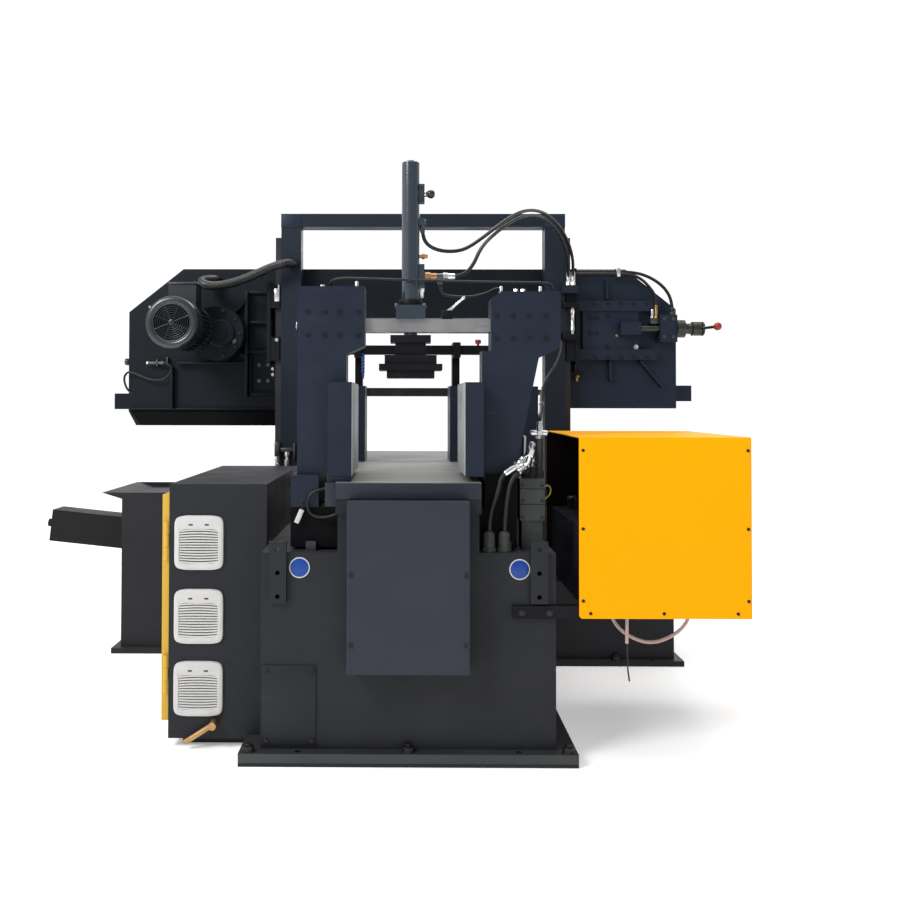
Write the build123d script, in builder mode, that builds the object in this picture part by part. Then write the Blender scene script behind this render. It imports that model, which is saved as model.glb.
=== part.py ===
from build123d import *
import math
import os

os.makedirs("parts", exist_ok=True)

# Frame: X to the right along the saw band, Y along the work from infeed to outfeed, Z up.
# The origin is on the floor, under the middle of the cut.

# Clearances
slip = 0.3
running_gap = 0.05
bolt_gap = 0.5

# Work line
table_top_z = 763
table_half = 200
table_plate = 28
outfeed_end_y = 480
groove_width = 8
groove_depth = 10
cut_below_table = 3
jaw_half_gap = 158
jaw_lift = 15
jaw_height = 262
stand_half = 195
stand_plate = 25
lip_height = 45
lip_plate = 12
lip_leg_width = 33
lip_leg = 41

# Feed base with its covers and the drilled plates for an infeed roller table
feed_front_y = -1250
feed_back_y = -350
feed_half = 405
feed_top_z = 570
feed_wall = 12
feed_flange = 35
feed_flange_side = 55
feed_flange_end = 40
anchor_half_x = 300
anchor_r = 9
level_bolt_x = 435
level_bolt_r = 8
level_nut_flats = 30
level_nut_height = 16
level_bolt_stub = 22
cover_half = 165
cover_bottom_z = 257
cover_top_gap = 2
cover_depth = 75
cover_wall = 4
cover_bolt_rows = (335, 522)
panel_left_x = -400
panel_width = 147
panel_bottom_z = 47
panel_height = 215
panel_plate = 5
panel_overlap = 25
screw_inset = 11
screw_head_r = 6
screw_head = 5
bracket_x = 358
bracket_width = 48
bracket_plate = 15
bracket_bottom_z = 434
bracket_height = 168
bracket_hole_pitch = 64.5
bracket_hole_first = 18
bracket_hole_r = 6.5

# Feed drive
screw_r = 16
feed_motor_r = 62
feed_motor_depth = 45
rail_inset = 33
rail_width = 28
rail_height = 26
rail_end_gap = 10

# Feed carriage
carriage_front_y = -1200
carriage_length = 300
saddle_left_x = -330
saddle_valve_gap = 10
saddle_lift = 8
saddle_gap = 45
saddle_skin = 18
carrier_width = 78
carrier_table_gap = 15
jaw_front_y = -1230
jaw_length = 360
left_jaw_t = 67
right_jaw_t = 51
jaw_chamfer = 8
jaw_stroke = 50
vise_rod_r = 11
vise_pocket_half = 33
vise_pocket_depth = 53
vise_bore_depth = 75
vise_rod_hold = 10

# Clamp arms, cross bar and overhead press
arm_front_y = -1170
arm_depth = 100
left_arm_width = 91
left_arm_reach = 100
left_arm_step = 48
left_arm_step_height = 80
left_arm_slope = 25
left_arm_height = 274
right_arm_inset = 26
right_arm_width = 197
right_arm_step_height = 90
right_arm_height = 260
right_arm_taper_low = 93
right_arm_taper_high = 161
right_arm_chamfer = 30
bar_above_jaw = 145
bar_depth = 60
bar_height = 37
bar_end = 7
press_x = 6
press_mount_half = 42
press_mount_depth = 84
press_mount_height = 40
press_length = 418
press_r = 26
press_bore_r = 20
press_rod_r = 12.5
press_rod_hole_gap = 1.5
press_cap = 15
press_gland = 28
press_piston = 25
press_piston_gap = 10
port_out = 14
port_half = 12
shoe_gap = 9
shoe_steps = ((58, 80, 21), (44, 60, 37), (74, 100, 25), (90, 120, 18), (68, 100, 22))

# Electrical cabinet and drain tap
cabinet_width = 280
cabinet_front_y = -1140
cabinet_length = 810
cabinet_bottom_z = 24
cabinet_top_z = 748
cabinet_wall = 3
cabinet_rim = 30
plinth_inset = 35
plinth_gap = 60
door_plate = 22
door_low_z = 72
door_high_z = 717
door_edge = 10
door_rim = 12
hinge_r = 7
hinge_pin_r = 3.5
hinge_gap = 1
hinge_tab = 4
knuckle = 35
latch_inset = 60
latch_r = 16
latch_height = 14
latch_pin_r = 6
vent_width = 141
vent_height = 158
vent_plate = 10
vent_corner = 14
vent_inset = 16
vent_z = (166, 371, 581)
vent_louvres = 11
backplate = 4
backplate_gap = 25
unit_rows = ((150, 170, 105), (400, 120, 85), (600, 90, 70))
tap_inset = 133
tap_z = 70
tap_r = 11
tap_out = 40

# Hydraulic unit
hood_gap = 61
hood_width = 472
hood_depth = 610
hood_bottom_z = 395
hood_height = 494
hood_corner_r = 10
hood_wall = 3
hood_bar_reach = 120
hood_bar_lap = 12
hood_bar_height = 35
hood_bar_plate = 12
hood_bar_bolts = (20, 95)
hood_screw_rows = (48, 244, 458)
hood_screw_columns = (31, 231, 432)
hood_screw_low = 14
hood_screw_r = 4.5
tank_arm = 25
tank_gap = 14
tank_height = 215
tank_wall = 5
drain_r = 4
drain_length = 99
pump_motor_r = 82
pump_motor_length = 260
pump_lift = 20
valve_inset = 20
valve_width = 70
valve_front_y = -1180
valve_depth = 100
valve_seams = (80, 127, 170, 199)
valve_fittings = ((24, 53), (44, 88), (64, 111))

# Saw base, chip hopper and chip auger
base_left_x = -520
base_right_x = 1004
base_front_y = -250
base_rear_y = 420
base_top_z = 580
base_wall = 10
base_flange = 20
base_flange_out = 30
base_anchor_x = (-380, 920)
pedestal_left_x = -1128
pedestal_front_y = -90
hopper_overhang = 80
hopper_rim = 25
hopper_wall = 4
hopper_gap = 20
auger_y = 60
auger_tilt = 6
auger_r = 50
auger_shaft_r = 16
auger_flight = 4
auger_pitch = 90
trough_left_x = -1440
trough_end_z = 485
trough_length = 740
trough_half = 63
trough_wall = 5
chip_mouth = 70
chip_inlet = 250

# Columns and lift
column_left_x = -443
column_right_x = 559
column_size = 76
column_wall = 6
column_above_bow = 200
tie_height = 50
foot_size = 110
foot_plate = 15
column_rail_width = 28
column_rail_t = 24
column_rail_low_z = 660
column_rail_top_gap = 88
lift_gap = 5
lift_r = 31
lift_bore_r = 26
lift_rod_r = 18
lift_rod_hold = 185
lift_top_gap = 27
lift_gland = 30

# Bow
bow_stroke = 248
bow_gap = 9
bow_plate = 15
bow_skin = 6
bow_open_y = 45
bow_top_up = 260
bow_throat_left_x = -490
bow_throat_right_x = 600
drive_end_x = -1083
drive_chamfer_run = 211
drive_chamfer_drop = 168
drive_bottom_down = 348
drive_bottom_run = 30
drive_bottom_rise = 55
idler_end_x = 1040
idler_chamfer_run = 195
idler_chamfer_drop = 155
idler_bottom_down = 279
beam_bottom_up = 70
beam_front_y = -45
beam_wall = 8
guard_half = 36
guard_wall = 3
wheel_r = 215
wheel_width = 40
wheel_rim = 28
wheel_web = 12
wheel_hub_r = 48
drive_x = -718
idler_x = 805
axle_r = 25
band_width = 34
band_t = 1.1
band_flat = 60
band_straight_half = 260
band_twist_steps = 6
band_window = 32
door_sheet = 6
nose_reach = 44
nose_half = 140
nose_front_y = -40
carriage_block_up = (-55, 145)
carriage_block_length = 90
carriage_block_width = 70
carriage_block_t = 34
carriage_block_gap = 6
carriage_bracket_t = 14
carriage_bracket_margin = 55

# Drive unit
gear_module = 4
drive_gear_teeth = 36
pinion_teeth = 12
gear_face = 34
gear_gap = 40
gearbox_depth = 135
gearbox_wall = 8
gearbox_big_r = 102
gearbox_small_r = 60
motor_body_r = 78
motor_bore_r = 64
motor_length = 215
motor_fins = 28
motor_fin = 7
motor_fin_t = 3
motor_shaft_r = 14
rotor_r = 52
cowl_r = 90
cowl_length = 85
cowl_wall = 3
cowl_ring_r = (24, 40, 56)
cowl_hole_r = 4.5
cowl_hole_pitch = 25
terminal_half = 50
terminal_start = 70
terminal_length = 90
terminal_up = 148
fan_r = 74
fan_blades = 9

# Tension unit
tension_travel = 20
tension_plate = 25
tension_left_x = 675
tension_width = 215
tension_down = 72
tension_up = 115
gib_height = 20
gib_depth = 32
tension_block_left_x = 962
tension_block_width = 64
tension_block_height = 104
tension_screw_out = 47
tension_screw_up = 26
tension_screw_r = 12
tension_nut_half = 24
tension_nut_length = 78
crank_flange = 31
crank_flange_r = 34
crank_neck = 29
crank_neck_r = 20
crank_hub = 42
crank_hub_r = 27
crank_lever_r = 6
crank_lever_length = 126
crank_ball_r = 14

# Hoses and cables
press_hose_r = 5.5
conduit_r = 17
cable_r = 6
tank_tube_r = 5
tension_hose_r = 6

# Blade guides
guide_bar_gap = 50
guide_bar_depth = 50
guide_bar_down = 68
guide_bar_height = 36
guide_arm_x = 195
guide_arm_width = 30
guide_arm_cheek = 12
guide_arm_lift = 4
guide_leg_half = 33
guide_slot_gap = 0.1
guide_slot_top_gap = 3

# Main vise
main_jaw_front_y = -320
main_jaw_length = 208
main_jaw_t = 74
main_jaw_height = 282
fixed_bracket_wall = 20
fixed_bracket_column_gap = 26
main_stroke = 300
main_cylinder_inset = 30
main_cylinder_down = 73
main_cylinder_r = 24
main_cylinder_spare = 46
main_rod_r = 12
main_leg_t = 25
main_leg_half = 10
main_leg_inset = 7
main_bracket_t = 15
main_bracket_half = 45
main_gland = 30
stand_wall = 15

# Heights and places that follow from the sizes above
plate_bottom_z = table_top_z - table_plate
jaw_bottom_z = table_top_z + jaw_lift
jaw_top_z = jaw_bottom_z + jaw_height
band_z = table_top_z - cut_below_table + bow_stroke + band_width / 2
wheel_z = band_z + wheel_r + slip + band_t / 2
bow_back_y = base_front_y + column_size + bow_gap
bow_top_z = wheel_z + bow_top_up
drive_bottom_z = wheel_z - drive_bottom_down
idler_bottom_z = wheel_z - idler_bottom_down
beam_bottom_z = wheel_z + beam_bottom_up
column_top_z = bow_top_z + column_above_bow
pedestal_top_z = drive_bottom_z - bow_stroke - hopper_gap - hopper_rim
saddle_right_x = feed_half - valve_inset - valve_width - saddle_valve_gap
rail_x = saddle_right_x - rail_inset


def block(low, high, mode=Mode.ADD):
    """A box between two opposite corners, in the active part."""
    size = [b - a for a, b in zip(low, high)]
    middle = [(a + b) / 2 for a, b in zip(low, high)]
    with Locations(tuple(middle)):
        Box(*size, mode=mode)


def drum(start, radius, length, axis, mode=Mode.ADD):
    """A cylinder that runs from its start point in the positive direction of X, Y or Z."""
    turns = {"X": (0, 90, 0), "Y": (90, 0, 0), "Z": (0, 0, 0)}
    steps = {"X": (1, 0, 0), "Y": (0, 1, 0), "Z": (0, 0, 1)}
    middle = tuple(s + d * length / 2 for s, d in zip(start, steps[axis]))
    with Locations(middle):
        Cylinder(radius, length, rotation=turns[axis], mode=mode)


def upright_plane(y):
    """A plane across the work at y: its x is X and its y is Z."""
    return Plane(origin=(0, y, 0), x_dir=(1, 0, 0), z_dir=(0, -1, 0))


def save(piece, name):
    piece.part.label = name
    export_step(piece.part, f"parts/{name}.step")


# Feed base: a welded box on a floor flange that leaves room for the cabinet
flange_front_y = feed_front_y - feed_flange_end
flange_rear_y = feed_back_y + feed_flange_end
anchor_front_y = feed_front_y - feed_flange_end / 2
anchor_rear_y = feed_back_y + feed_flange_end / 2
panel_right_x = panel_left_x + panel_width
panel_top_z = panel_bottom_z + panel_height
bracket_hole_z = [bracket_bottom_z + bracket_hole_first + row * bracket_hole_pitch for row in range(3)]
with BuildPart() as feed_base:
    block((-feed_half - feed_flange_side, flange_front_y, 0),
          (feed_half + feed_flange_side, flange_rear_y, feed_flange))
    block((-feed_half - feed_flange_side, cabinet_front_y - slip, 0),
          (-feed_half, flange_rear_y, feed_flange), mode=Mode.SUBTRACT)
    block((-feed_half, feed_front_y, feed_flange), (feed_half, feed_back_y, feed_top_z))
    for plate_x in (-bracket_x, bracket_x):
        block((plate_x - bracket_width / 2, feed_front_y - bracket_plate, bracket_bottom_z),
              (plate_x + bracket_width / 2, feed_front_y, bracket_bottom_z + bracket_height))
    block((-feed_half + feed_wall, feed_front_y + feed_wall, feed_flange),
          (feed_half - feed_wall, feed_back_y - feed_wall, feed_top_z - feed_wall), mode=Mode.SUBTRACT)
    block((panel_left_x + panel_overlap, feed_front_y, panel_bottom_z + panel_overlap),
          (panel_right_x - panel_overlap, feed_front_y + feed_wall, panel_top_z - panel_overlap),
          mode=Mode.SUBTRACT)
    for hole_x in (-bracket_x, bracket_x):
        for hole_z in bracket_hole_z:
            drum((hole_x, feed_front_y - bracket_plate, hole_z), bracket_hole_r,
                 bracket_plate + feed_wall, "Y", Mode.SUBTRACT)
    for hole_y in (anchor_front_y, anchor_rear_y):
        for hole_x in (-anchor_half_x, anchor_half_x):
            drum((hole_x, hole_y, 0), anchor_r, feed_flange, "Z", Mode.SUBTRACT)
    for hole_x in (-level_bolt_x, 0, level_bolt_x):
        drum((hole_x, anchor_front_y, 0), level_bolt_r + bolt_gap, feed_flange, "Z", Mode.SUBTRACT)
    for hole_x in (0, level_bolt_x):
        drum((hole_x, anchor_rear_y, 0), level_bolt_r + bolt_gap, feed_flange, "Z", Mode.SUBTRACT)
save(feed_base, "feed_base")

# Drive cover and access panel on the front of the feed base
cover_front_y = feed_front_y - cover_depth
cover_top_z = table_top_z - lip_height - cover_top_gap
with BuildPart() as feed_covers:
    block((-cover_half, cover_front_y, cover_bottom_z), (cover_half, feed_front_y, cover_top_z))
    fillet(feed_covers.edges().filter_by(Axis.Z).group_by(Axis.Y)[0], radius=cover_wall)
    block((-cover_half + cover_wall, cover_front_y + cover_wall, cover_bottom_z + cover_wall),
          (cover_half - cover_wall, feed_front_y, cover_top_z - cover_wall), mode=Mode.SUBTRACT)
    block((panel_left_x, feed_front_y - panel_plate, panel_bottom_z),
          (panel_right_x, feed_front_y, panel_top_z))
save(feed_covers, "feed_covers")

# Work table: one plate from the infeed lip to the outfeed end, with a groove under the band
with BuildPart() as work_table:
    block((-table_half, feed_front_y, plate_bottom_z), (table_half, outfeed_end_y, table_top_z))
    block((-table_half, feed_front_y - lip_plate, table_top_z - lip_height),
          (table_half, feed_front_y, table_top_z))
    block((-table_half, -groove_width / 2, table_top_z - groove_depth),
          (table_half, groove_width / 2, table_top_z), mode=Mode.SUBTRACT)
    leg_slot_left_x = -table_half
    leg_slot_right_x = -jaw_half_gap - main_leg_inset + main_stroke + 2
    leg_y = main_jaw_front_y + main_cylinder_inset
    block((leg_slot_left_x, leg_y - main_leg_half - 1, plate_bottom_z),
          (leg_slot_right_x, leg_y + main_leg_half + 1, table_top_z), mode=Mode.SUBTRACT)
save(work_table, "work_table")

# Stands of the table: two uprights on the feed base and a frame on the saw base
saddle_bottom_z = feed_top_z + saddle_lift
saddle_top_z = plate_bottom_z - saddle_gap
screw_z = (saddle_bottom_z + saddle_top_z) / 2
saw_stand_front_y = feed_back_y + 5
saw_stand_rear_y = outfeed_end_y
cylinder_z = table_top_z - main_cylinder_down
with BuildPart() as table_stands:
    block((-stand_half, feed_front_y, feed_top_z), (stand_half, feed_front_y + stand_plate, plate_bottom_z))
    for side in (-1, 1):
        leg_edges = sorted((side * (table_half - lip_leg_width), side * table_half))
        block((leg_edges[0], feed_front_y - lip_plate, table_top_z - lip_height - lip_leg),
              (leg_edges[1], feed_front_y, table_top_z - lip_height))
    block((-stand_half, feed_back_y - stand_plate, feed_top_z), (stand_half, feed_back_y, plate_bottom_z))
    drum((0, feed_front_y, screw_z), screw_r + running_gap, feed_back_y - feed_front_y, "Y", Mode.SUBTRACT)
    block((-stand_half, saw_stand_front_y, base_top_z), (stand_half, saw_stand_rear_y, plate_bottom_z))
    block((-stand_half + stand_wall, saw_stand_front_y + stand_wall, base_top_z),
          (stand_half - stand_wall, saw_stand_rear_y - stand_wall, plate_bottom_z), mode=Mode.SUBTRACT)
    block((-stand_half, leg_y - main_leg_half - 2, cylinder_z - main_rod_r - 12),
          (-stand_half + stand_wall, leg_y + main_leg_half + 2, plate_bottom_z), mode=Mode.SUBTRACT)
save(table_stands, "table_stands")

# Feed drive: the screw, its flat motor behind the cover, and all the guide rails
motor_front_y = feed_front_y - feed_motor_depth
with BuildPart() as feed_screw:
    drum((0, motor_front_y + 10, screw_z), screw_r, feed_back_y - motor_front_y - 10, "Y")
save(feed_screw, "feed_screw")

with BuildPart() as feed_motor:
    drum((0, motor_front_y, screw_z), feed_motor_r, feed_motor_depth, "Y")
    drum((0, motor_front_y + 10, screw_z), screw_r + running_gap, feed_motor_depth - 10, "Y", Mode.SUBTRACT)
save(feed_motor, "feed_motor")

column_centres = (column_left_x, column_right_x)
column_front_y = base_front_y
column_mid_y = column_front_y + column_size / 2
rail_top_z = feed_top_z + rail_height
with BuildPart() as linear_rails:
    for side in (-1, 1):
        block((side * rail_x - rail_width / 2, feed_front_y + stand_plate + rail_end_gap, feed_top_z),
              (side * rail_x + rail_width / 2, feed_back_y - stand_plate - rail_end_gap, rail_top_z))
    for side, centre_x in zip((-1, 1), column_centres):
        face_x = centre_x + side * column_size / 2
        rail_faces = sorted((face_x, face_x + side * column_rail_t))
        block((rail_faces[0], column_mid_y - column_rail_width / 2, column_rail_low_z),
              (rail_faces[1], column_mid_y + column_rail_width / 2, column_top_z - column_rail_top_gap))
save(linear_rails, "linear_rails")

# Feed carriage: the saddle rides on the rails and holds the bored vise cylinder
carriage_rear_y = carriage_front_y + carriage_length
vise_y = carriage_front_y + carriage_length / 2
vise_floor_z = saddle_top_z - vise_pocket_depth
vise_axis_z = saddle_top_z - vise_pocket_depth / 2
vise_face_x = -table_half
with BuildPart() as feed_saddle:
    block((saddle_left_x, carriage_front_y, saddle_bottom_z), (saddle_right_x, carriage_rear_y, saddle_top_z))
    block((table_half + carrier_table_gap, carriage_front_y, saddle_top_z),
          (saddle_right_x, carriage_rear_y, jaw_bottom_z))
    for side in (-1, 1):
        block((side * rail_x - rail_width / 2 - slip, carriage_front_y, saddle_bottom_z),
              (side * rail_x + rail_width / 2 + slip, carriage_rear_y, rail_top_z + slip), mode=Mode.SUBTRACT)
    drum((0, carriage_front_y, screw_z), screw_r + slip, carriage_length, "Y", Mode.SUBTRACT)
    block((saddle_left_x, vise_y - vise_pocket_half, vise_floor_z),
          (vise_face_x, vise_y + vise_pocket_half, saddle_top_z), mode=Mode.SUBTRACT)
    drum((vise_face_x, vise_y, vise_axis_z), vise_rod_r + running_gap, vise_bore_depth, "X", Mode.SUBTRACT)
    block((screw_r + 2 * saddle_skin, carriage_front_y + saddle_skin, saddle_bottom_z),
          (rail_x - rail_width / 2 - saddle_skin, carriage_rear_y - saddle_skin, saddle_top_z - saddle_skin),
          mode=Mode.SUBTRACT)
save(feed_saddle, "feed_saddle")

# Vise jaws of the carriage
jaw_rear_y = jaw_front_y + jaw_length
left_jaw_back_x = -jaw_half_gap - left_jaw_t
right_jaw_back_x = jaw_half_gap + right_jaw_t
with BuildPart() as left_jaw:
    block((left_jaw_back_x, jaw_front_y, jaw_bottom_z), (-jaw_half_gap, jaw_rear_y, jaw_top_z))
    chamfer(left_jaw.edges().filter_by(Axis.Y).group_by(Axis.Z)[-1].sort_by(Axis.X)[0], length=jaw_chamfer)
save(left_jaw, "left_jaw")

with BuildPart() as right_jaw:
    block((jaw_half_gap, jaw_front_y, jaw_bottom_z), (right_jaw_back_x, jaw_rear_y, jaw_top_z))
    chamfer(right_jaw.edges().filter_by(Axis.Y).group_by(Axis.Z)[-1].sort_by(Axis.X)[-1], length=jaw_chamfer)
save(right_jaw, "right_jaw")

# Clamp arms joined by the cross bar, which slides through the left arm
left_arm_out_x = left_jaw_back_x - left_arm_width
left_arm_in_x = left_jaw_back_x + left_arm_reach
left_arm_step_x = left_jaw_back_x + left_arm_step
right_arm_in_x = right_jaw_back_x + right_arm_inset
right_arm_out_x = right_arm_in_x + right_arm_width
bar_front_y = arm_front_y + (arm_depth - bar_depth) / 2
bar_rear_y = bar_front_y + bar_depth
bar_bottom_z = jaw_top_z + bar_above_jaw
bar_top_z = bar_bottom_z + bar_height
bar_left_x = left_arm_out_x + jaw_stroke + bar_end
bar_right_x = right_arm_out_x - bar_end
lug_left_x = saddle_left_x + 8
lug_right_x = saddle_left_x + 30
with BuildPart() as left_arm:
    with BuildSketch(upright_plane(arm_front_y)):
        with BuildLine():
            Polyline((left_arm_out_x, jaw_bottom_z), (left_jaw_back_x, jaw_bottom_z),
                     (left_jaw_back_x, jaw_top_z), (left_arm_step_x, jaw_top_z),
                     (left_arm_step_x, jaw_top_z + left_arm_step_height),
                     (left_arm_in_x, jaw_top_z + left_arm_step_height + left_arm_slope),
                     (left_arm_in_x, jaw_top_z + left_arm_height),
                     (left_arm_out_x, jaw_top_z + left_arm_height), close=True)
        make_face()
    extrude(amount=-arm_depth)
    block((left_arm_out_x, bar_front_y - slip, bar_bottom_z - slip),
          (left_arm_in_x, bar_rear_y + slip, bar_top_z + slip), mode=Mode.SUBTRACT)
    block((saddle_left_x, carriage_front_y, saddle_top_z),
          (saddle_left_x + carrier_width, carriage_rear_y, jaw_bottom_z))
    block((lug_left_x, vise_y - vise_pocket_half + 6, vise_floor_z + 3),
          (lug_right_x, vise_y + vise_pocket_half - 6, saddle_top_z))
    drum((lug_right_x, vise_y, vise_axis_z), vise_rod_r, vise_face_x + vise_rod_hold - lug_right_x, "X")
save(left_arm, "left_arm")

right_arm_step_z = jaw_top_z + right_arm_step_height
right_arm_top_z = jaw_top_z + right_arm_height
with BuildPart() as right_arm:
    with BuildSketch(upright_plane(arm_front_y)):
        with BuildLine():
            Polyline((right_jaw_back_x, jaw_bottom_z), (right_jaw_back_x + right_arm_taper_low, jaw_bottom_z),
                     (right_jaw_back_x + right_arm_taper_high, right_arm_step_z - 20),
                     (right_arm_out_x, right_arm_step_z + 10), (right_arm_out_x, right_arm_top_z),
                     (right_arm_in_x + right_arm_chamfer, right_arm_top_z),
                     (right_arm_in_x, right_arm_top_z - right_arm_chamfer * 2 / 3),
                     (right_arm_in_x, right_arm_step_z), (right_jaw_back_x, right_arm_step_z), close=True)
        make_face()
    extrude(amount=-arm_depth)
    block((right_arm_in_x, bar_front_y, bar_bottom_z), (bar_right_x, bar_rear_y, bar_top_z),
          mode=Mode.SUBTRACT)
save(right_arm, "right_arm")

press_y = (bar_front_y + bar_rear_y) / 2
with BuildPart() as cross_bar:
    block((bar_left_x, bar_front_y, bar_bottom_z), (bar_right_x, bar_rear_y, bar_top_z))
    drum((press_x, press_y, bar_bottom_z), press_rod_r + press_rod_hole_gap, bar_height, "Z", Mode.SUBTRACT)
save(cross_bar, "cross_bar")

# Overhead press: cylinder with its foot and ports, rod with piston, and the shoe
press_bottom_z = bar_top_z + press_mount_height
press_top_z = press_bottom_z + press_length
shoe_top_z = bar_bottom_z - shoe_gap
piston_z = press_top_z - press_cap - press_piston_gap - press_piston
port_rows = ((press_length - 92, 55, 8, 20), (press_length - 174, 20, 7, 4), (86, 70, 9, 68))
with BuildPart() as press_cylinder:
    drum((press_x, press_y, press_bottom_z), press_r, press_length, "Z")
    fillet(press_cylinder.edges().group_by(Axis.Z)[-1], radius=4)
    for port_up, port_height, stub_r, stub_length in port_rows:
        port_z = press_bottom_z + port_up
        block((press_x, press_y - port_half, port_z - port_height / 2),
              (press_x + press_r + port_out, press_y + port_half, port_z + port_height / 2))
        drum((press_x + press_r + port_out, press_y, port_z), stub_r, stub_length, "X")
    block((press_x - press_mount_half, press_y - press_mount_depth / 2, bar_top_z),
          (press_x + press_mount_half, press_y + press_mount_depth / 2, press_bottom_z))
    drum((press_x, press_y, bar_top_z), press_rod_r + press_rod_hole_gap, press_mount_height, "Z",
         Mode.SUBTRACT)
    drum((press_x, press_y, press_bottom_z), press_rod_r + running_gap, press_gland, "Z", Mode.SUBTRACT)
    drum((press_x, press_y, press_bottom_z + press_gland), press_bore_r,
         press_length - press_cap - press_gland, "Z", Mode.SUBTRACT)
save(press_cylinder, "press_cylinder")

with BuildPart() as press_rod:
    drum((press_x, press_y, shoe_top_z), press_rod_r, piston_z + press_piston - shoe_top_z, "Z")
    drum((press_x, press_y, piston_z), press_bore_r - running_gap, press_piston, "Z")
save(press_rod, "press_rod")

with BuildPart() as press_shoe:
    step_top_z = shoe_top_z
    for half_x, depth, height in shoe_steps:
        block((press_x - half_x, press_y - depth / 2, step_top_z - height),
              (press_x + half_x, press_y + depth / 2, step_top_z))
        step_top_z -= height
save(press_shoe, "press_shoe")


def hinge_pin(x, y, z):
    """The fixed half of a hinge with an upright axis: two knuckles and the pin between them."""
    drum((x, y, z), hinge_r, knuckle, "Z")
    drum((x, y, z + 2 * (knuckle + hinge_gap)), hinge_r, knuckle, "Z")
    drum((x, y, z + knuckle / 2), hinge_pin_r, 2 * (knuckle + hinge_gap), "Z")


def hinge_sleeve(x, y, z):
    """The moving half of the same hinge: one bored knuckle between the fixed ones."""
    drum((x, y, z + knuckle + hinge_gap), hinge_r, knuckle, "Z")


def hinge_bore(x, y, z):
    drum((x, y, z + knuckle + hinge_gap), hinge_pin_r + running_gap, knuckle, "Z", Mode.SUBTRACT)


# Electrical cabinet beside the feed base, with its door on the outer side
cabinet_right_x = -feed_half
cabinet_left_x = cabinet_right_x - cabinet_width
cabinet_rear_y = cabinet_front_y + cabinet_length
cabinet_hinge_x = cabinet_left_x - hinge_r - hinge_gap
cabinet_hinge_y = cabinet_front_y + 2
cabinet_hinge_z = (door_low_z + 80, door_high_z - 80 - 3 * knuckle)
door_front_y = cabinet_front_y + door_edge
door_rear_y = cabinet_rear_y - door_edge
vent_x = cabinet_left_x + vent_width / 2 + vent_inset
tap_x = cabinet_left_x + tap_inset
with BuildPart() as cabinet:
    block((cabinet_left_x, cabinet_front_y, cabinet_bottom_z),
          (cabinet_right_x, cabinet_rear_y, cabinet_top_z))
    block((cabinet_left_x + plinth_inset, cabinet_front_y + plinth_inset, 0),
          (cabinet_right_x - plinth_gap, cabinet_rear_y - plinth_inset, cabinet_bottom_z))
    block((cabinet_left_x + cabinet_wall, cabinet_front_y + cabinet_wall, cabinet_bottom_z + cabinet_wall),
          (cabinet_right_x - cabinet_wall, cabinet_rear_y - cabinet_wall, cabinet_top_z - cabinet_wall),
          mode=Mode.SUBTRACT)
    block((cabinet_left_x, cabinet_front_y + cabinet_rim, door_low_z + door_rim),
          (cabinet_left_x + cabinet_wall, cabinet_rear_y - cabinet_rim, door_high_z - door_rim),
          mode=Mode.SUBTRACT)
    for middle_z in vent_z:
        block((vent_x - vent_width / 2 + vent_inset, cabinet_front_y, middle_z - vent_height / 2 + vent_inset),
              (vent_x + vent_width / 2 - vent_inset, cabinet_front_y + cabinet_wall,
               middle_z + vent_height / 2 - vent_inset), mode=Mode.SUBTRACT)
    for low_z in cabinet_hinge_z:
        hinge_pin(cabinet_hinge_x, cabinet_hinge_y, low_z)
        for tab_z in (low_z, low_z + 2 * (knuckle + hinge_gap)):
            block((cabinet_hinge_x, cabinet_front_y, tab_z),
                  (cabinet_left_x + cabinet_wall, cabinet_front_y + hinge_tab, tab_z + knuckle))
save(cabinet, "cabinet")

latch_y = door_rear_y - latch_inset
latch_z = (door_low_z + door_high_z) / 2
door_face_x = cabinet_left_x - door_plate
with BuildPart() as cabinet_door:
    block((door_face_x, door_front_y, door_low_z), (cabinet_left_x, door_rear_y, door_high_z))
    block((door_face_x + hinge_tab, door_front_y + door_rim, door_low_z + door_rim),
          (cabinet_left_x, door_rear_y - door_rim, door_high_z - door_rim), mode=Mode.SUBTRACT)
    for low_z in cabinet_hinge_z:
        hinge_sleeve(cabinet_hinge_x, cabinet_hinge_y, low_z)
        block((cabinet_hinge_x - hinge_tab / 2, cabinet_hinge_y, low_z + knuckle + hinge_gap),
              (cabinet_hinge_x + hinge_tab / 2, door_front_y + door_rim, low_z + 2 * knuckle + hinge_gap))
        hinge_bore(cabinet_hinge_x, cabinet_hinge_y, low_z)
    drum((door_face_x, latch_y, latch_z), latch_pin_r + running_gap, hinge_tab, "X", Mode.SUBTRACT)
save(cabinet_door, "cabinet_door")

with BuildPart() as door_latch:
    drum((door_face_x - latch_height, latch_y, latch_z), latch_r, latch_height, "X")
    block((door_face_x - latch_height, latch_y - 5, latch_z - 2.5 * latch_r),
          (door_face_x - 4, latch_y + 5, latch_z))
    drum((door_face_x, latch_y, latch_z), latch_pin_r, hinge_tab + 6, "X")
save(door_latch, "door_latch")

# Vent grilles on the front of the cabinet
with BuildPart() as cabinet_vents:
    for middle_z in vent_z:
        with BuildSketch(upright_plane(cabinet_front_y)):
            with Locations((vent_x, middle_z)):
                RectangleRounded(vent_width, vent_height, vent_corner)
                Rectangle(vent_width - 2 * vent_inset, vent_height - 2 * vent_inset, mode=Mode.SUBTRACT)
        extrude(amount=vent_plate)
        slat_pitch = (vent_height - 2 * vent_inset) / vent_louvres
        for row in range(vent_louvres):
            slat_z = middle_z - vent_height / 2 + vent_inset + (row + 0.5) * slat_pitch
            block((vent_x - vent_width / 2 + vent_inset, cabinet_front_y - vent_plate + 2, slat_z - slat_pitch / 5),
                  (vent_x + vent_width / 2 - vent_inset, cabinet_front_y, slat_z + slat_pitch / 5))
save(cabinet_vents, "cabinet_vents")

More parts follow.
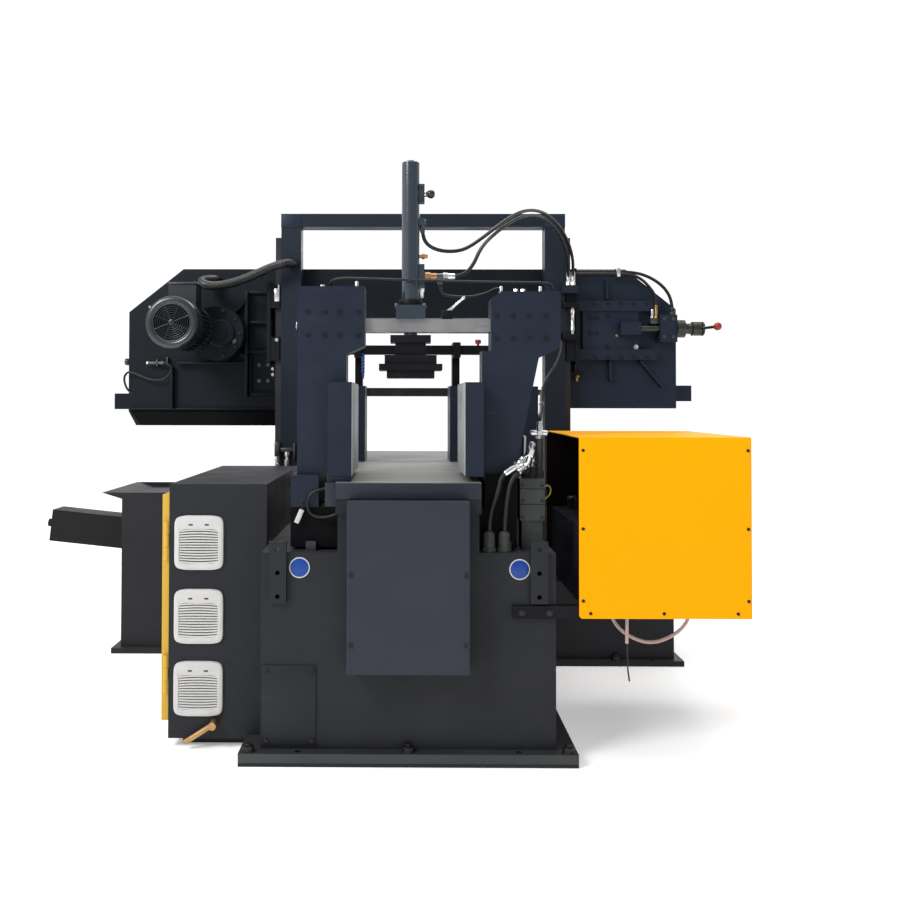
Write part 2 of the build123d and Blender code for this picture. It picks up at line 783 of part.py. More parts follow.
# Mounting plate with the switchgear, inside the cabinet
plate_face_x = cabinet_right_x - cabinet_wall - backplate_gap
with BuildPart() as electrical_plate:
    block((plate_face_x - backplate, cabinet_front_y + 60, door_low_z + 40),
          (plate_face_x, cabinet_rear_y - 60, door_high_z - 40))
    for post_y in (cabinet_front_y + 80, cabinet_rear_y - 80):
        for post_z in (door_low_z + 60, door_high_z - 60):
            drum((plate_face_x, post_y, post_z), 8, backplate_gap, "X")
    for low_z, height, depth in unit_rows:
        block((plate_face_x - backplate - depth, cabinet_front_y + 110, low_z),
              (plate_face_x - backplate, cabinet_rear_y - 110, low_z + height))
save(electrical_plate, "electrical_plate")

# Coolant drain tap low on the cabinet front, with its lever
with BuildPart() as drain_tap:
    drum((tap_x, cabinet_front_y - tap_out, tap_z), tap_r, tap_out, "Y")
    with BuildSketch(Plane(origin=(tap_x, cabinet_front_y - tap_out / 2, tap_z), z_dir=(-0.85, 0, -0.53))):
        Circle(tap_r - 3)
    extrude(amount=95)
save(drain_tap, "drain_tap")

# Yellow hood of the hydraulic unit, open on its inner side and underneath
hood_left_x = feed_half + hood_gap
hood_right_x = hood_left_x + hood_width
hood_front_y = feed_front_y - hood_bar_plate - hood_wall
hood_rear_y = hood_front_y + hood_depth
hood_top_z = hood_bottom_z + hood_height
with BuildPart() as hood:
    block((hood_left_x, hood_front_y, hood_bottom_z), (hood_right_x, hood_rear_y, hood_top_z))
    fillet(hood.edges().filter_by(Axis.Z).group_by(Axis.X)[-1], radius=2 * hood_wall)
    fillet(hood.edges().filter_by(Axis.Y).group_by(Axis.Z)[0].sort_by(Axis.X)[0], radius=hood_corner_r)
    block((hood_left_x, hood_front_y + hood_wall, hood_bottom_z),
          (hood_right_x - hood_wall, hood_rear_y - hood_wall, hood_top_z - hood_wall), mode=Mode.SUBTRACT)
save(hood, "hood")

# Carriers of the hydraulic unit: a front bar to the hood and two arms under the tank
tank_left_x = hood_left_x + tank_gap
tank_right_x = hood_right_x - tank_gap
tank_front_y = hood_front_y + tank_gap
tank_rear_y = hood_rear_y - tank_gap
tank_bottom_z = hood_bottom_z + tank_arm + 2
tank_top_z = tank_bottom_z + tank_height
tank_arm_y = (tank_front_y + 36, tank_rear_y - 46)
bar_low_z = hood_bottom_z - 2
with BuildPart() as hydraulic_brackets:
    block((feed_half - hood_bar_reach, feed_front_y - hood_bar_plate, bar_low_z),
          (hood_left_x + hood_bar_lap, feed_front_y, bar_low_z + hood_bar_height))
    for arm_y in tank_arm_y:
        block((feed_half, arm_y - tank_arm / 2, tank_bottom_z - tank_arm),
              (tank_right_x, arm_y + tank_arm / 2, tank_bottom_z))
save(hydraulic_brackets, "hydraulic_brackets")

# Hydraulic unit: oil tank with filler neck, drain pipe and the pump motor on top
pump_x = (tank_left_x + tank_right_x) / 2 + 10
pump_y = tank_front_y + 90
pump_z = tank_top_z + pump_lift + pump_motor_r
drain_x = tank_left_x + 121
drain_y = tank_front_y + 12
with BuildPart() as hydraulic_unit:
    block((tank_left_x, tank_front_y, tank_bottom_z), (tank_right_x, tank_rear_y, tank_top_z))
    drum((tank_left_x + 70, tank_rear_y - 80, tank_top_z - tank_wall), 30, 30, "Z")
    block((tank_left_x + tank_wall, tank_front_y + 4 * tank_wall, tank_bottom_z + tank_wall),
          (tank_right_x - tank_wall, tank_rear_y - tank_wall, tank_top_z - tank_wall), mode=Mode.SUBTRACT)
    drum((tank_left_x + 70, tank_rear_y - 80, tank_top_z - tank_wall), 24, 30, "Z", Mode.SUBTRACT)
    block((pump_x - 60, pump_y + 30, tank_top_z), (pump_x + 60, pump_y + pump_motor_length - 30, pump_z))
    drum((pump_x, pump_y, pump_z), pump_motor_r, pump_motor_length, "Y")
    drum((pump_x, pump_y + pump_motor_length, pump_z), pump_motor_r * 0.7, 90, "Y")
    drum((drain_x, drain_y, tank_bottom_z - drain_length), drain_r, drain_length, "Z")
save(hydraulic_unit, "hydraulic_unit")

# Valve stack on the feed base with its upright hose fittings
valve_right_x = feed_half - valve_inset
valve_left_x = valve_right_x - valve_width
valve_top_z = feed_top_z + valve_seams[-1]
fitting_y = valve_front_y + 60
with BuildPart() as valve_stack:
    block((valve_left_x + 6, valve_front_y + 8, feed_top_z),
          (valve_right_x - 6, valve_front_y + valve_depth - 8, valve_top_z))
    for seam_low, seam_high in zip(valve_seams, valve_seams[1:]):
        block((valve_left_x, valve_front_y, feed_top_z + seam_low + 1),
              (valve_right_x, valve_front_y + valve_depth, feed_top_z + seam_high - 1))
    for fitting_x, fitting_up in valve_fittings:
        drum((valve_left_x + fitting_x, fitting_y, valve_top_z - 1), 9, fitting_up + 1, "Z")
        drum((valve_left_x + fitting_x, fitting_y, valve_top_z - 1), 12, 19, "Z")
save(valve_stack, "valve_stack")

# Saw base: the main box and the left pedestal with its chip hopper, one welded piece
auger_run = (pedestal_left_x - trough_left_x)
trough_at_wall_z = trough_end_z - auger_run * math.tan(math.radians(auger_tilt))
level_x = 783
with BuildPart() as saw_base:
    block((base_left_x - base_flange_out, base_front_y - base_flange_out, 0),
          (base_right_x + base_flange_out, base_rear_y + base_flange_out, base_flange))
    block((pedestal_left_x - base_flange_out, pedestal_front_y - base_flange_out, 0),
          (base_left_x, base_rear_y + base_flange_out, base_flange))
    block((base_left_x, base_front_y, base_flange), (base_right_x, base_rear_y, base_top_z))
    block((pedestal_left_x, pedestal_front_y, base_flange), (base_left_x, base_rear_y, pedestal_top_z))
    hopper_left_x = pedestal_left_x - hopper_overhang
    hopper_right_x = base_left_x - hopper_wall
    hopper_top_z = pedestal_top_z + hopper_rim
    with BuildSketch(upright_plane(pedestal_front_y)):
        with BuildLine():
            Polyline((hopper_left_x, hopper_top_z), (pedestal_left_x, pedestal_top_z),
                     (hopper_right_x, pedestal_top_z), (hopper_right_x, hopper_top_z), close=True)
        make_face()
    extrude(amount=pedestal_front_y - base_rear_y)
    with BuildSketch(upright_plane(pedestal_front_y + hopper_wall)):
        with BuildLine():
            Polyline((hopper_left_x + 3 * hopper_wall, hopper_top_z), (pedestal_left_x, pedestal_top_z + hopper_wall),
                     (hopper_right_x - hopper_wall, pedestal_top_z + hopper_wall),
                     (hopper_right_x - hopper_wall, hopper_top_z), close=True)
        make_face()
    extrude(amount=pedestal_front_y + 2 * hopper_wall - base_rear_y, mode=Mode.SUBTRACT)
    block((base_left_x + base_wall, base_front_y + base_wall, base_flange),
          (base_right_x - base_wall, base_rear_y - base_wall, base_top_z - base_wall), mode=Mode.SUBTRACT)
    block((pedestal_left_x + base_wall, pedestal_front_y + base_wall, base_flange),
          (base_left_x + base_wall, base_rear_y - base_wall, base_top_z - base_wall), mode=Mode.SUBTRACT)
    block((pedestal_left_x + 120, auger_y - auger_r, base_top_z - base_wall),
          (base_left_x - 120, auger_y + auger_r, pedestal_top_z + hopper_wall), mode=Mode.SUBTRACT)
    block((pedestal_left_x, auger_y - trough_half - 2, trough_at_wall_z - trough_half - 4),
          (pedestal_left_x + base_wall, auger_y + trough_half + 2, trough_at_wall_z + trough_half + 4),
          mode=Mode.SUBTRACT)
    block((-jaw_half_gap, -25, base_top_z - base_wall), (jaw_half_gap, 25, base_top_z), mode=Mode.SUBTRACT)
    for anchor_x in base_anchor_x:
        for anchor_y in (base_front_y - base_flange_out / 2, base_rear_y + base_flange_out / 2):
            drum((anchor_x, anchor_y, 0), anchor_r, base_flange, "Z", Mode.SUBTRACT)
    drum((level_x, base_front_y - base_flange_out / 2, 0), level_bolt_r + bolt_gap, base_flange, "Z",
         Mode.SUBTRACT)
save(saw_base, "saw_base")

# Chip trough: a square tube that leaves the pedestal on a slope and ends in a discharge mouth
tilt_cos = math.cos(math.radians(auger_tilt))
tilt_sin = math.sin(math.radians(auger_tilt))
auger_frame = Plane(origin=(trough_left_x, auger_y, trough_end_z), x_dir=(tilt_cos, 0, -tilt_sin),
                    z_dir=(tilt_sin, 0, tilt_cos))
with BuildPart(auger_frame) as trough_body:
    block((0, -trough_half, -trough_half), (trough_length, trough_half, trough_half))

with BuildPart(auger_frame) as trough_inside:
    inner = trough_half - trough_wall
    block((trough_wall, -inner, -inner), (trough_length - trough_wall, inner, inner))
    block((trough_wall, -inner, -trough_half), (trough_wall + chip_mouth, inner, 0))
    block((trough_length - trough_wall - chip_inlet, -inner, 0), (trough_length - trough_wall, inner, trough_half))
    drum((0, 0, 0), auger_shaft_r + running_gap, trough_length, "X")

with BuildPart() as chip_trough:
    block((pedestal_left_x - 8, auger_y - trough_half - 30, trough_at_wall_z - trough_half - 30),
          (pedestal_left_x, auger_y + trough_half + 30, trough_at_wall_z + trough_half + 30))
    add(trough_body.part)
    add(trough_inside.part, mode=Mode.SUBTRACT)
save(chip_trough, "chip_trough")

# Auger in the trough, driven from inside the pedestal
flight_start = 2 * trough_wall + chip_mouth
flight_length = trough_length - flight_start - 2 * trough_wall
flight_mid_r = (auger_r + auger_shaft_r) / 2
flight_from = auger_frame.from_local_coords(Vector(flight_start, 0, 0))
with BuildPart() as auger_flight_part:
    with BuildLine() as helix:
        Helix(pitch=auger_pitch, height=flight_length, radius=flight_mid_r, center=flight_from,
              direction=(tilt_cos, 0, -tilt_sin))
    with BuildSketch(Plane(origin=helix.line @ 0, x_dir=helix.line @ 0 - flight_from, z_dir=helix.line % 0)):
        Rectangle(auger_r - auger_shaft_r + 4, auger_flight)
    sweep(path=helix.line, is_frenet=True)

with BuildPart(auger_frame) as auger_shaft:
    drum((-30, 0, 0), auger_shaft_r, trough_length + 60, "X")

with BuildPart() as auger:
    add(auger_shaft.part)
    add(auger_flight_part.part)
save(auger, "auger")

# Columns with their feet, a hose clamp on the right one and a cable gland on the left one
column_rear_y = column_front_y + column_size
clamp_top_z = bow_top_z - 76
clamp_y = column_front_y - 20
cable_box_z = bow_top_z - 261
gland_z = bow_top_z + 7
with BuildPart() as columns:
    for centre_x in column_centres:
        block((centre_x - column_size / 2, column_front_y, base_top_z),
              (centre_x + column_size / 2, column_rear_y, column_top_z))
        block((centre_x - foot_size / 2, column_front_y, base_top_z),
              (centre_x + foot_size / 2, column_rear_y, base_top_z + foot_plate))
    for centre_x in column_centres:
        block((centre_x - column_size / 2 + column_wall, column_front_y + column_wall, base_top_z),
              (centre_x + column_size / 2 - column_wall, column_rear_y - column_wall, column_top_z - column_wall),
              mode=Mode.SUBTRACT)
    block((column_right_x + 20, clamp_y - 20, clamp_top_z - 30),
          (column_right_x + column_size / 2 + 45, column_front_y, clamp_top_z))
    block((column_right_x - 16, column_front_y - 12, cable_box_z - 18),
          (column_right_x + 16, column_front_y, cable_box_z + 18))
    drum((column_left_x + 5, column_front_y - 12, gland_z), 24, 12, "Y")
save(columns, "columns")

with BuildPart() as tie_beam:
    block((column_left_x + column_size / 2, column_front_y, column_top_z - tie_height),
          (column_right_x - column_size / 2, column_rear_y, column_top_z))
    block((column_left_x + column_size / 2, column_front_y + column_wall, column_top_z - tie_height + column_wall),
          (column_right_x - column_size / 2, column_rear_y - column_wall, column_top_z - column_wall),
          mode=Mode.SUBTRACT)
save(tie_beam, "tie_beam")

# Lift cylinders behind the columns and their rods, which carry the bow
lift_y = column_rear_y + lift_gap + lift_r
lift_top_z = beam_bottom_z - bow_stroke - lift_top_gap
with BuildPart() as lift_cylinders:
    for centre_x in column_centres:
        drum((centre_x, lift_y, base_top_z), lift_r, lift_top_z - base_top_z, "Z")
        drum((centre_x, lift_y, base_top_z + column_wall), lift_bore_r,
             lift_top_z - lift_gland - base_top_z - column_wall, "Z", Mode.SUBTRACT)
        drum((centre_x, lift_y, lift_top_z - lift_gland), lift_rod_r + running_gap, lift_gland, "Z", Mode.SUBTRACT)
save(lift_cylinders, "lift_cylinders")

with BuildPart() as lift_rods:
    for centre_x in column_centres:
        drum((centre_x, lift_y, lift_top_z - lift_rod_hold), lift_rod_r,
             beam_bottom_z - lift_top_z + lift_rod_hold, "Z")
save(lift_rods, "lift_rods")

# Bow: two wheel housings, open towards the outfeed side, where their doors hang
drive_outline = [(drive_end_x + drive_bottom_run, drive_bottom_z), (bow_throat_left_x, drive_bottom_z),
                 (bow_throat_left_x, bow_top_z), (drive_end_x + drive_chamfer_run, bow_top_z),
                 (drive_end_x, bow_top_z - drive_chamfer_drop), (drive_end_x, drive_bottom_z + drive_bottom_rise)]
idler_outline = [(bow_throat_right_x, idler_bottom_z), (idler_end_x, idler_bottom_z),
                 (idler_end_x, bow_top_z - idler_chamfer_drop), (idler_end_x - idler_chamfer_run, bow_top_z),
                 (bow_throat_right_x, bow_top_z)]
nose_x = bow_throat_right_x - nose_reach
idler_door_outline = idler_outline + [(bow_throat_right_x, wheel_z + nose_half), (nose_x, wheel_z + nose_half),
                                      (nose_x, wheel_z - nose_half), (bow_throat_right_x, wheel_z - nose_half)]
bow_depth = bow_open_y - bow_back_y
band_top_z = 2 * wheel_z - band_z
bow_hinge_y = bow_open_y + door_sheet / 2
drive_hinge_x = drive_end_x - hinge_r - hinge_gap
idler_hinge_x = idler_end_x + hinge_r + hinge_gap
drive_hinge_z = (drive_bottom_z + drive_bottom_rise + 20, bow_top_z - drive_chamfer_drop - 20 - 3 * knuckle)
idler_hinge_z = (idler_bottom_z + 20, bow_top_z - idler_chamfer_drop - 20 - 3 * knuckle)
with BuildPart() as drive_housing:
    with BuildSketch(upright_plane(bow_back_y)):
        with BuildLine():
            Polyline(*drive_outline, close=True)
        make_face()
    extrude(amount=-bow_depth)
    with BuildSketch(upright_plane(bow_back_y + bow_plate)):
        with BuildLine():
            Polyline(*drive_outline, close=True)
        make_face()
        offset(amount=-bow_skin, mode=Mode.REPLACE)
    extrude(amount=-(bow_depth - bow_plate), mode=Mode.SUBTRACT)
    for run_z in (band_z, band_top_z):
        block((bow_throat_left_x - bow_skin, -band_window, run_z - band_window),
              (bow_throat_left_x, band_window, run_z + band_window), mode=Mode.SUBTRACT)
    drum((drive_x, bow_back_y, wheel_z), axle_r + running_gap, bow_plate, "Y", Mode.SUBTRACT)
    block((drive_end_x - 74, -100, drive_bottom_z + 62), (drive_end_x, -40, drive_bottom_z + 124))
    for low_z in drive_hinge_z:
        hinge_pin(drive_hinge_x, bow_hinge_y, low_z)
        for tab_z in (low_z, low_z + 2 * (knuckle + hinge_gap)):
            block((drive_hinge_x, bow_open_y - hinge_tab, tab_z),
                  (drive_end_x + bow_skin, bow_open_y, tab_z + knuckle))
save(drive_housing, "drive_housing")

hose_clip_x = tension_left_x + 142
hose_clip_z = bow_top_z - 12
with BuildPart() as idler_housing:
    with BuildSketch(upright_plane(bow_back_y)):
        with BuildLine():
            Polyline(*idler_outline, close=True)
        make_face()
    extrude(amount=-bow_depth)
    with BuildSketch(upright_plane(bow_back_y + bow_plate)):
        with BuildLine():
            Polyline(*idler_outline, close=True)
        make_face()
        offset(amount=-bow_skin, mode=Mode.REPLACE)
    extrude(amount=-(bow_depth - bow_plate), mode=Mode.SUBTRACT)
    for run_z in (band_z, band_top_z):
        block((bow_throat_right_x, -band_window, run_z - band_window),
              (bow_throat_right_x + bow_skin, band_window, run_z + band_window), mode=Mode.SUBTRACT)
    block((nose_x, nose_front_y, wheel_z - nose_half), (bow_throat_right_x, bow_open_y, wheel_z + nose_half))
    block((nose_x + bow_skin, nose_front_y + bow_skin, wheel_z - nose_half + bow_skin),
          (bow_throat_right_x + bow_skin, bow_open_y, wheel_z + nose_half - bow_skin), mode=Mode.SUBTRACT)
    block((idler_x - tension_travel - axle_r - 2, bow_back_y, wheel_z - axle_r - 2),
          (idler_x + axle_r + 2, bow_back_y + bow_plate, wheel_z + axle_r + 2), mode=Mode.SUBTRACT)
    block((hose_clip_x - 18, bow_back_y - 30, hose_clip_z - 10), (hose_clip_x, bow_back_y, hose_clip_z + 10))
    block((idler_end_x, -100, idler_bottom_z + 28), (idler_end_x + 78, -40, idler_bottom_z + 90))
    for low_z in idler_hinge_z:
        hinge_pin(idler_hinge_x, bow_hinge_y, low_z)
        for tab_z in (low_z, low_z + 2 * (knuckle + hinge_gap)):
            block((idler_end_x - bow_skin, bow_open_y - hinge_tab, tab_z),
                  (idler_hinge_x, bow_open_y, tab_z + knuckle))
save(idler_housing, "idler_housing")

with BuildPart() as drive_door:
    with BuildSketch(upright_plane(bow_open_y)):
        with BuildLine():
            Polyline(*drive_outline, close=True)
        make_face()
    extrude(amount=-door_sheet)
    for low_z in drive_hinge_z:
        hinge_sleeve(drive_hinge_x, bow_hinge_y, low_z)
        block((drive_hinge_x, bow_hinge_y - 2, low_z + knuckle + hinge_gap),
              (drive_end_x + 10, bow_open_y + door_sheet, low_z + 2 * knuckle + hinge_gap))
        hinge_bore(drive_hinge_x, bow_hinge_y, low_z)
save(drive_door, "drive_door")

with BuildPart() as idler_door:
    with BuildSketch(upright_plane(bow_open_y)):
        with BuildLine():
            Polyline(*idler_door_outline, close=True)
        make_face()
    extrude(amount=-door_sheet)
    for low_z in idler_hinge_z:
        hinge_sleeve(idler_hinge_x, bow_hinge_y, low_z)
        block((idler_end_x - 10, bow_hinge_y - 2, low_z + knuckle + hinge_gap),
              (idler_hinge_x, bow_open_y + door_sheet, low_z + 2 * knuckle + hinge_gap))
        hinge_bore(idler_hinge_x, bow_hinge_y, low_z)
save(idler_door, "idler_door")

# Bow beam between the housings, with the guard channel of the upper band run in front
with BuildPart() as bow_beam:
    block((bow_throat_left_x, bow_back_y, beam_bottom_z), (bow_throat_right_x, beam_front_y, bow_top_z))
    block((bow_throat_left_x, bow_back_y + beam_wall, beam_bottom_z + beam_wall),
          (bow_throat_right_x, beam_front_y - beam_wall, bow_top_z - beam_wall), mode=Mode.SUBTRACT)
    block((bow_throat_left_x, beam_front_y, band_top_z - guard_half),
          (bow_throat_right_x, bow_open_y - guard_wall, band_top_z + guard_half))
    block((bow_throat_left_x, beam_front_y, band_top_z - guard_half + guard_wall),
          (bow_throat_right_x, bow_open_y - 2 * guard_wall, band_top_z + guard_half - guard_wall),
          mode=Mode.SUBTRACT)
save(bow_beam, "bow_beam")

# Guide blocks of the bow on the column rails, with the brackets that carry the housings
with BuildPart() as bow_carriages:
    for side, centre_x in zip((-1, 1), column_centres):
        face_x = centre_x + side * column_size / 2
        block_edges = sorted((face_x + side * carriage_block_gap,
                              face_x + side * (carriage_block_gap + carriage_block_t)))
        plate_in_x = face_x + side * (carriage_block_gap + carriage_block_t)
        plate_edges = sorted((plate_in_x, plate_in_x + side * carriage_bracket_t))
        groove_edges = sorted((face_x, face_x + side * (column_rail_t + slip)))
        for block_up in carriage_block_up:
            block_z = wheel_z + block_up
            block((block_edges[0], column_mid_y - carriage_block_width / 2, block_z - carriage_block_length / 2),
                  (block_edges[1], column_mid_y + carriage_block_width / 2, block_z + carriage_block_length / 2))
        block((plate_edges[0], column_front_y, wheel_z + carriage_block_up[0] - carriage_bracket_margin),
              (plate_edges[1], bow_back_y, wheel_z + carriage_block_up[1] + carriage_bracket_margin))
        block((groove_edges[0], column_mid_y - column_rail_width / 2 - slip, column_rail_low_z),
              (groove_edges[1], column_mid_y + column_rail_width / 2 + slip, column_top_z), mode=Mode.SUBTRACT)
save(bow_carriages, "bow_carriages")

# Drive: gearbox on the back of the drive housing, motor body with fan cowl; the motor sits one tooth
# of the gear above the wheel's axis
motor_offset = gear_module * (drive_gear_teeth + pinion_teeth) / 2
motor_angle = 360 / drive_gear_teeth
motor_x = drive_x - motor_offset * math.cos(math.radians(motor_angle))
motor_z = wheel_z + motor_offset * math.sin(math.radians(motor_angle))
gearbox_rear_y = bow_back_y - gearbox_depth
motor_rear_y = gearbox_rear_y - motor_length
cowl_rear_y = motor_rear_y - cowl_length
with BuildPart() as gearbox:
    for shell, y in ((0, gearbox_rear_y), (gearbox_wall, gearbox_rear_y + gearbox_wall)):
        with BuildSketch(upright_plane(y)) as shell_face:
            with Locations((drive_x, wheel_z)):
                Circle(gearbox_big_r - shell)
            with Locations((motor_x, motor_z)):
                Circle(gearbox_small_r - shell)
            make_hull(mode=Mode.ADD)
        extrude(amount=-(bow_back_y - y), mode=Mode.SUBTRACT if shell else Mode.ADD)
    drum((motor_x, gearbox_rear_y, motor_z), motor_shaft_r + running_gap, gearbox_wall, "Y", Mode.SUBTRACT)
save(gearbox, "gearbox")

with BuildPart() as drive_motor:
    drum((motor_x, motor_rear_y, motor_z), motor_body_r, motor_length, "Y")
    drum((motor_x, motor_rear_y, motor_z), cowl_r, 8, "Y")
    with BuildSketch(upright_plane(motor_rear_y + 12)):
        with Locations((motor_x, motor_z)):
            with PolarLocations(motor_body_r + motor_fin / 2 - 1, motor_fins):
                Rectangle(motor_fin + 2, motor_fin_t)
    extrude(amount=-(motor_length - 24))
    block((motor_x - terminal_half, motor_rear_y + terminal_start, motor_z),
          (motor_x + terminal_half, motor_rear_y + terminal_start + terminal_length,
           motor_z + terminal_up))
    drum((motor_x, cowl_rear_y, motor_z), cowl_r, cowl_length, "Y")
    drum((motor_x, cowl_rear_y + cowl_wall, motor_z), cowl_r - cowl_wall, cowl_length - cowl_wall, "Y",
         Mode.SUBTRACT)
    drum((motor_x, motor_rear_y + 10, motor_z), motor_bore_r, motor_length - 20, "Y", Mode.SUBTRACT)
    drum((motor_x, motor_rear_y, motor_z), motor_shaft_r + running_gap, motor_length, "Y", Mode.SUBTRACT)
    with BuildSketch(upright_plane(cowl_rear_y)):
        for ring_r in cowl_ring_r:
            with Locations((motor_x, motor_z)):
                with PolarLocations(ring_r, int(2 * math.pi * ring_r / cowl_hole_pitch)):
                    Circle(cowl_hole_r)
    extrude(amount=-cowl_wall, mode=Mode.SUBTRACT)
save(drive_motor, "drive_motor")

# Band wheels: the driven one carries its shaft and gear, the other runs on the tension axle
gear_y = bow_back_y - gear_gap - gear_face
gear_r = gear_module * drive_gear_teeth / 2
pinion_r = gear_module * pinion_teeth / 2
tooth_shape = [(-1.25 * gear_module, -3.4), (0.9 * gear_module, -1.1), (0.9 * gear_module, 1.1),
               (-1.25 * gear_module, 3.4)]
wheel_recess = (wheel_width - wheel_web) / 2
with BuildPart() as drive_wheel:
    drum((drive_x, -wheel_width / 2, wheel_z), wheel_r, wheel_width, "Y")
    with BuildSketch(upright_plane(-wheel_width / 2), upright_plane(wheel_width / 2 - wheel_recess)):
        with Locations((drive_x, wheel_z)):
            Circle(wheel_r - wheel_rim)
            Circle(wheel_hub_r, mode=Mode.SUBTRACT)
    extrude(amount=-wheel_recess, mode=Mode.SUBTRACT)
    with BuildSketch(upright_plane(-wheel_web / 2)):
        with Locations((drive_x, wheel_z)):
            with PolarLocations((wheel_r - wheel_rim + wheel_hub_r) / 2, 5):
                Circle(45)
    extrude(amount=-wheel_web, mode=Mode.SUBTRACT)
    drum((drive_x, gear_y - 6, wheel_z), axle_r, wheel_width / 2 - gear_y + 6, "Y")
    with BuildSketch(upright_plane(gear_y)):
        with Locations((drive_x, wheel_z)):
            Circle(gear_r - 1.2 * gear_module)
            with PolarLocations(gear_r, drive_gear_teeth):
                Polygon(*tooth_shape, align=None)
    extrude(amount=-gear_face)
save(drive_wheel, "drive_wheel")

with BuildPart() as motor_rotor:
    drum((motor_x, cowl_rear_y + 12, motor_z), motor_shaft_r, gear_y + gear_face - cowl_rear_y - 12, "Y")
    with BuildSketch(upright_plane(gear_y)):
        with Locations((motor_x, motor_z)):
            Circle(pinion_r - 1.2 * gear_module)
            with PolarLocations(pinion_r, pinion_teeth, start_angle=180 / pinion_teeth - motor_angle):
                Polygon(*tooth_shape, align=None)
    extrude(amount=-gear_face)
    drum((motor_x, motor_rear_y + 40, motor_z), rotor_r, motor_length - 80, "Y")
    drum((motor_x, cowl_rear_y + 24, motor_z), 2 * motor_shaft_r, 34, "Y")
    with BuildSketch(upright_plane(cowl_rear_y + 26)):
        with Locations((motor_x, motor_z)):
            with PolarLocations(motor_shaft_r + fan_r / 2, fan_blades):
                Rectangle(fan_r - 2 * motor_shaft_r + 8, 4)
    extrude(amount=-30)
save(motor_rotor, "motor_rotor")

with BuildPart() as idler_wheel:
    drum((idler_x, -wheel_width / 2, wheel_z), wheel_r, wheel_width, "Y")
    with BuildSketch(upright_plane(-wheel_width / 2), upright_plane(wheel_width / 2 - wheel_recess)):
        with Locations((idler_x, wheel_z)):
            Circle(wheel_r - wheel_rim)
            Circle(wheel_hub_r, mode=Mode.SUBTRACT)
    extrude(amount=-wheel_recess, mode=Mode.SUBTRACT)
    with BuildSketch(upright_plane(-wheel_web / 2)):
        with Locations((idler_x, wheel_z)):
            with PolarLocations((wheel_r - wheel_rim + wheel_hub_r) / 2, 5):
                Circle(45)
    extrude(amount=-wheel_web, mode=Mode.SUBTRACT)
    drum((idler_x, -2 * wheel_width, wheel_z), wheel_hub_r, 2 * wheel_width, "Y")
    drum((idler_x, -2 * wheel_width, wheel_z), axle_r + running_gap, 2.5 * wheel_width, "Y", Mode.SUBTRACT)
save(idler_wheel, "idler_wheel")

# Saw band: flat on the wheels and along the top, turned upright through the cut
band_inner_r = wheel_r + slip
with BuildPart() as saw_band:
    for centre_x, side in ((drive_x, -1), (idler_x, 1)):
        with BuildSketch(upright_plane(-band_width / 2)):
            with Locations((centre_x, wheel_z)):
                Circle(band_inner_r + band_t)
                Circle(band_inner_r, mode=Mode.SUBTRACT)
            with Locations((centre_x - side * wheel_r, wheel_z)):
                Rectangle(2 * wheel_r, 3 * wheel_r, mode=Mode.SUBTRACT)
        extrude(amount=-band_width)
    block((drive_x, -band_width / 2, band_top_z - band_t / 2),
          (idler_x, band_width / 2, band_top_z + band_t / 2))
    block((drive_x, -band_width / 2, band_z - band_t / 2),
          (drive_x + band_flat, band_width / 2, band_z + band_t / 2))
    block((idler_x - band_flat, -band_width / 2, band_z - band_t / 2),
          (idler_x, band_width / 2, band_z + band_t / 2))
    block((-band_straight_half, -band_t / 2, band_z - band_width / 2),
          (band_straight_half, band_t / 2, band_z + band_width / 2))
    for flat_x, upright_x in ((drive_x + band_flat, -band_straight_half),
                              (idler_x - band_flat, band_straight_half)):
        turn_planes = []
        for step in range(band_twist_steps + 1):
            part_way = step / band_twist_steps
            turn = math.radians(90 * part_way)
            turn_planes.append(Plane(origin=(flat_x + part_way * (upright_x - flat_x), 0, band_z),
                                     x_dir=(0, math.cos(turn), math.sin(turn)), z_dir=(1, 0, 0)))
        with BuildSketch(*turn_planes):
            Rectangle(band_width, band_t)
        loft(ruled=True)
save(saw_band, "saw_band")

# Tension unit: slide with the idler axle, its gibs, the screw block and the hand crank
tension_right_x = tension_left_x + tension_width
tension_low_z = wheel_z - tension_down
tension_high_z = wheel_z + tension_up
tension_screw_y = bow_back_y - tension_screw_out
tension_screw_z = wheel_z + tension_screw_up
tension_front_y = bow_back_y - tension_plate
with BuildPart() as tension_slide:
    block((tension_left_x, tension_front_y, tension_low_z), (tension_right_x, bow_back_y, tension_high_z))
    drum((idler_x, bow_back_y, wheel_z), axle_r, wheel_width / 2 - bow_back_y + 8, "Y")
    drum((idler_x, wheel_width / 2 + slip, wheel_z), axle_r + 10, 8 - slip, "Y")
    block((tension_right_x - tension_nut_length, tension_screw_y - tension_nut_half,
           tension_screw_z - tension_nut_half),
          (tension_right_x, tension_front_y, tension_screw_z + tension_nut_half))
    drum((tension_right_x - tension_nut_length, tension_screw_y, tension_screw_z), tension_screw_r + slip,
         tension_nut_length, "X", Mode.SUBTRACT)
save(tension_slide, "tension_slide")

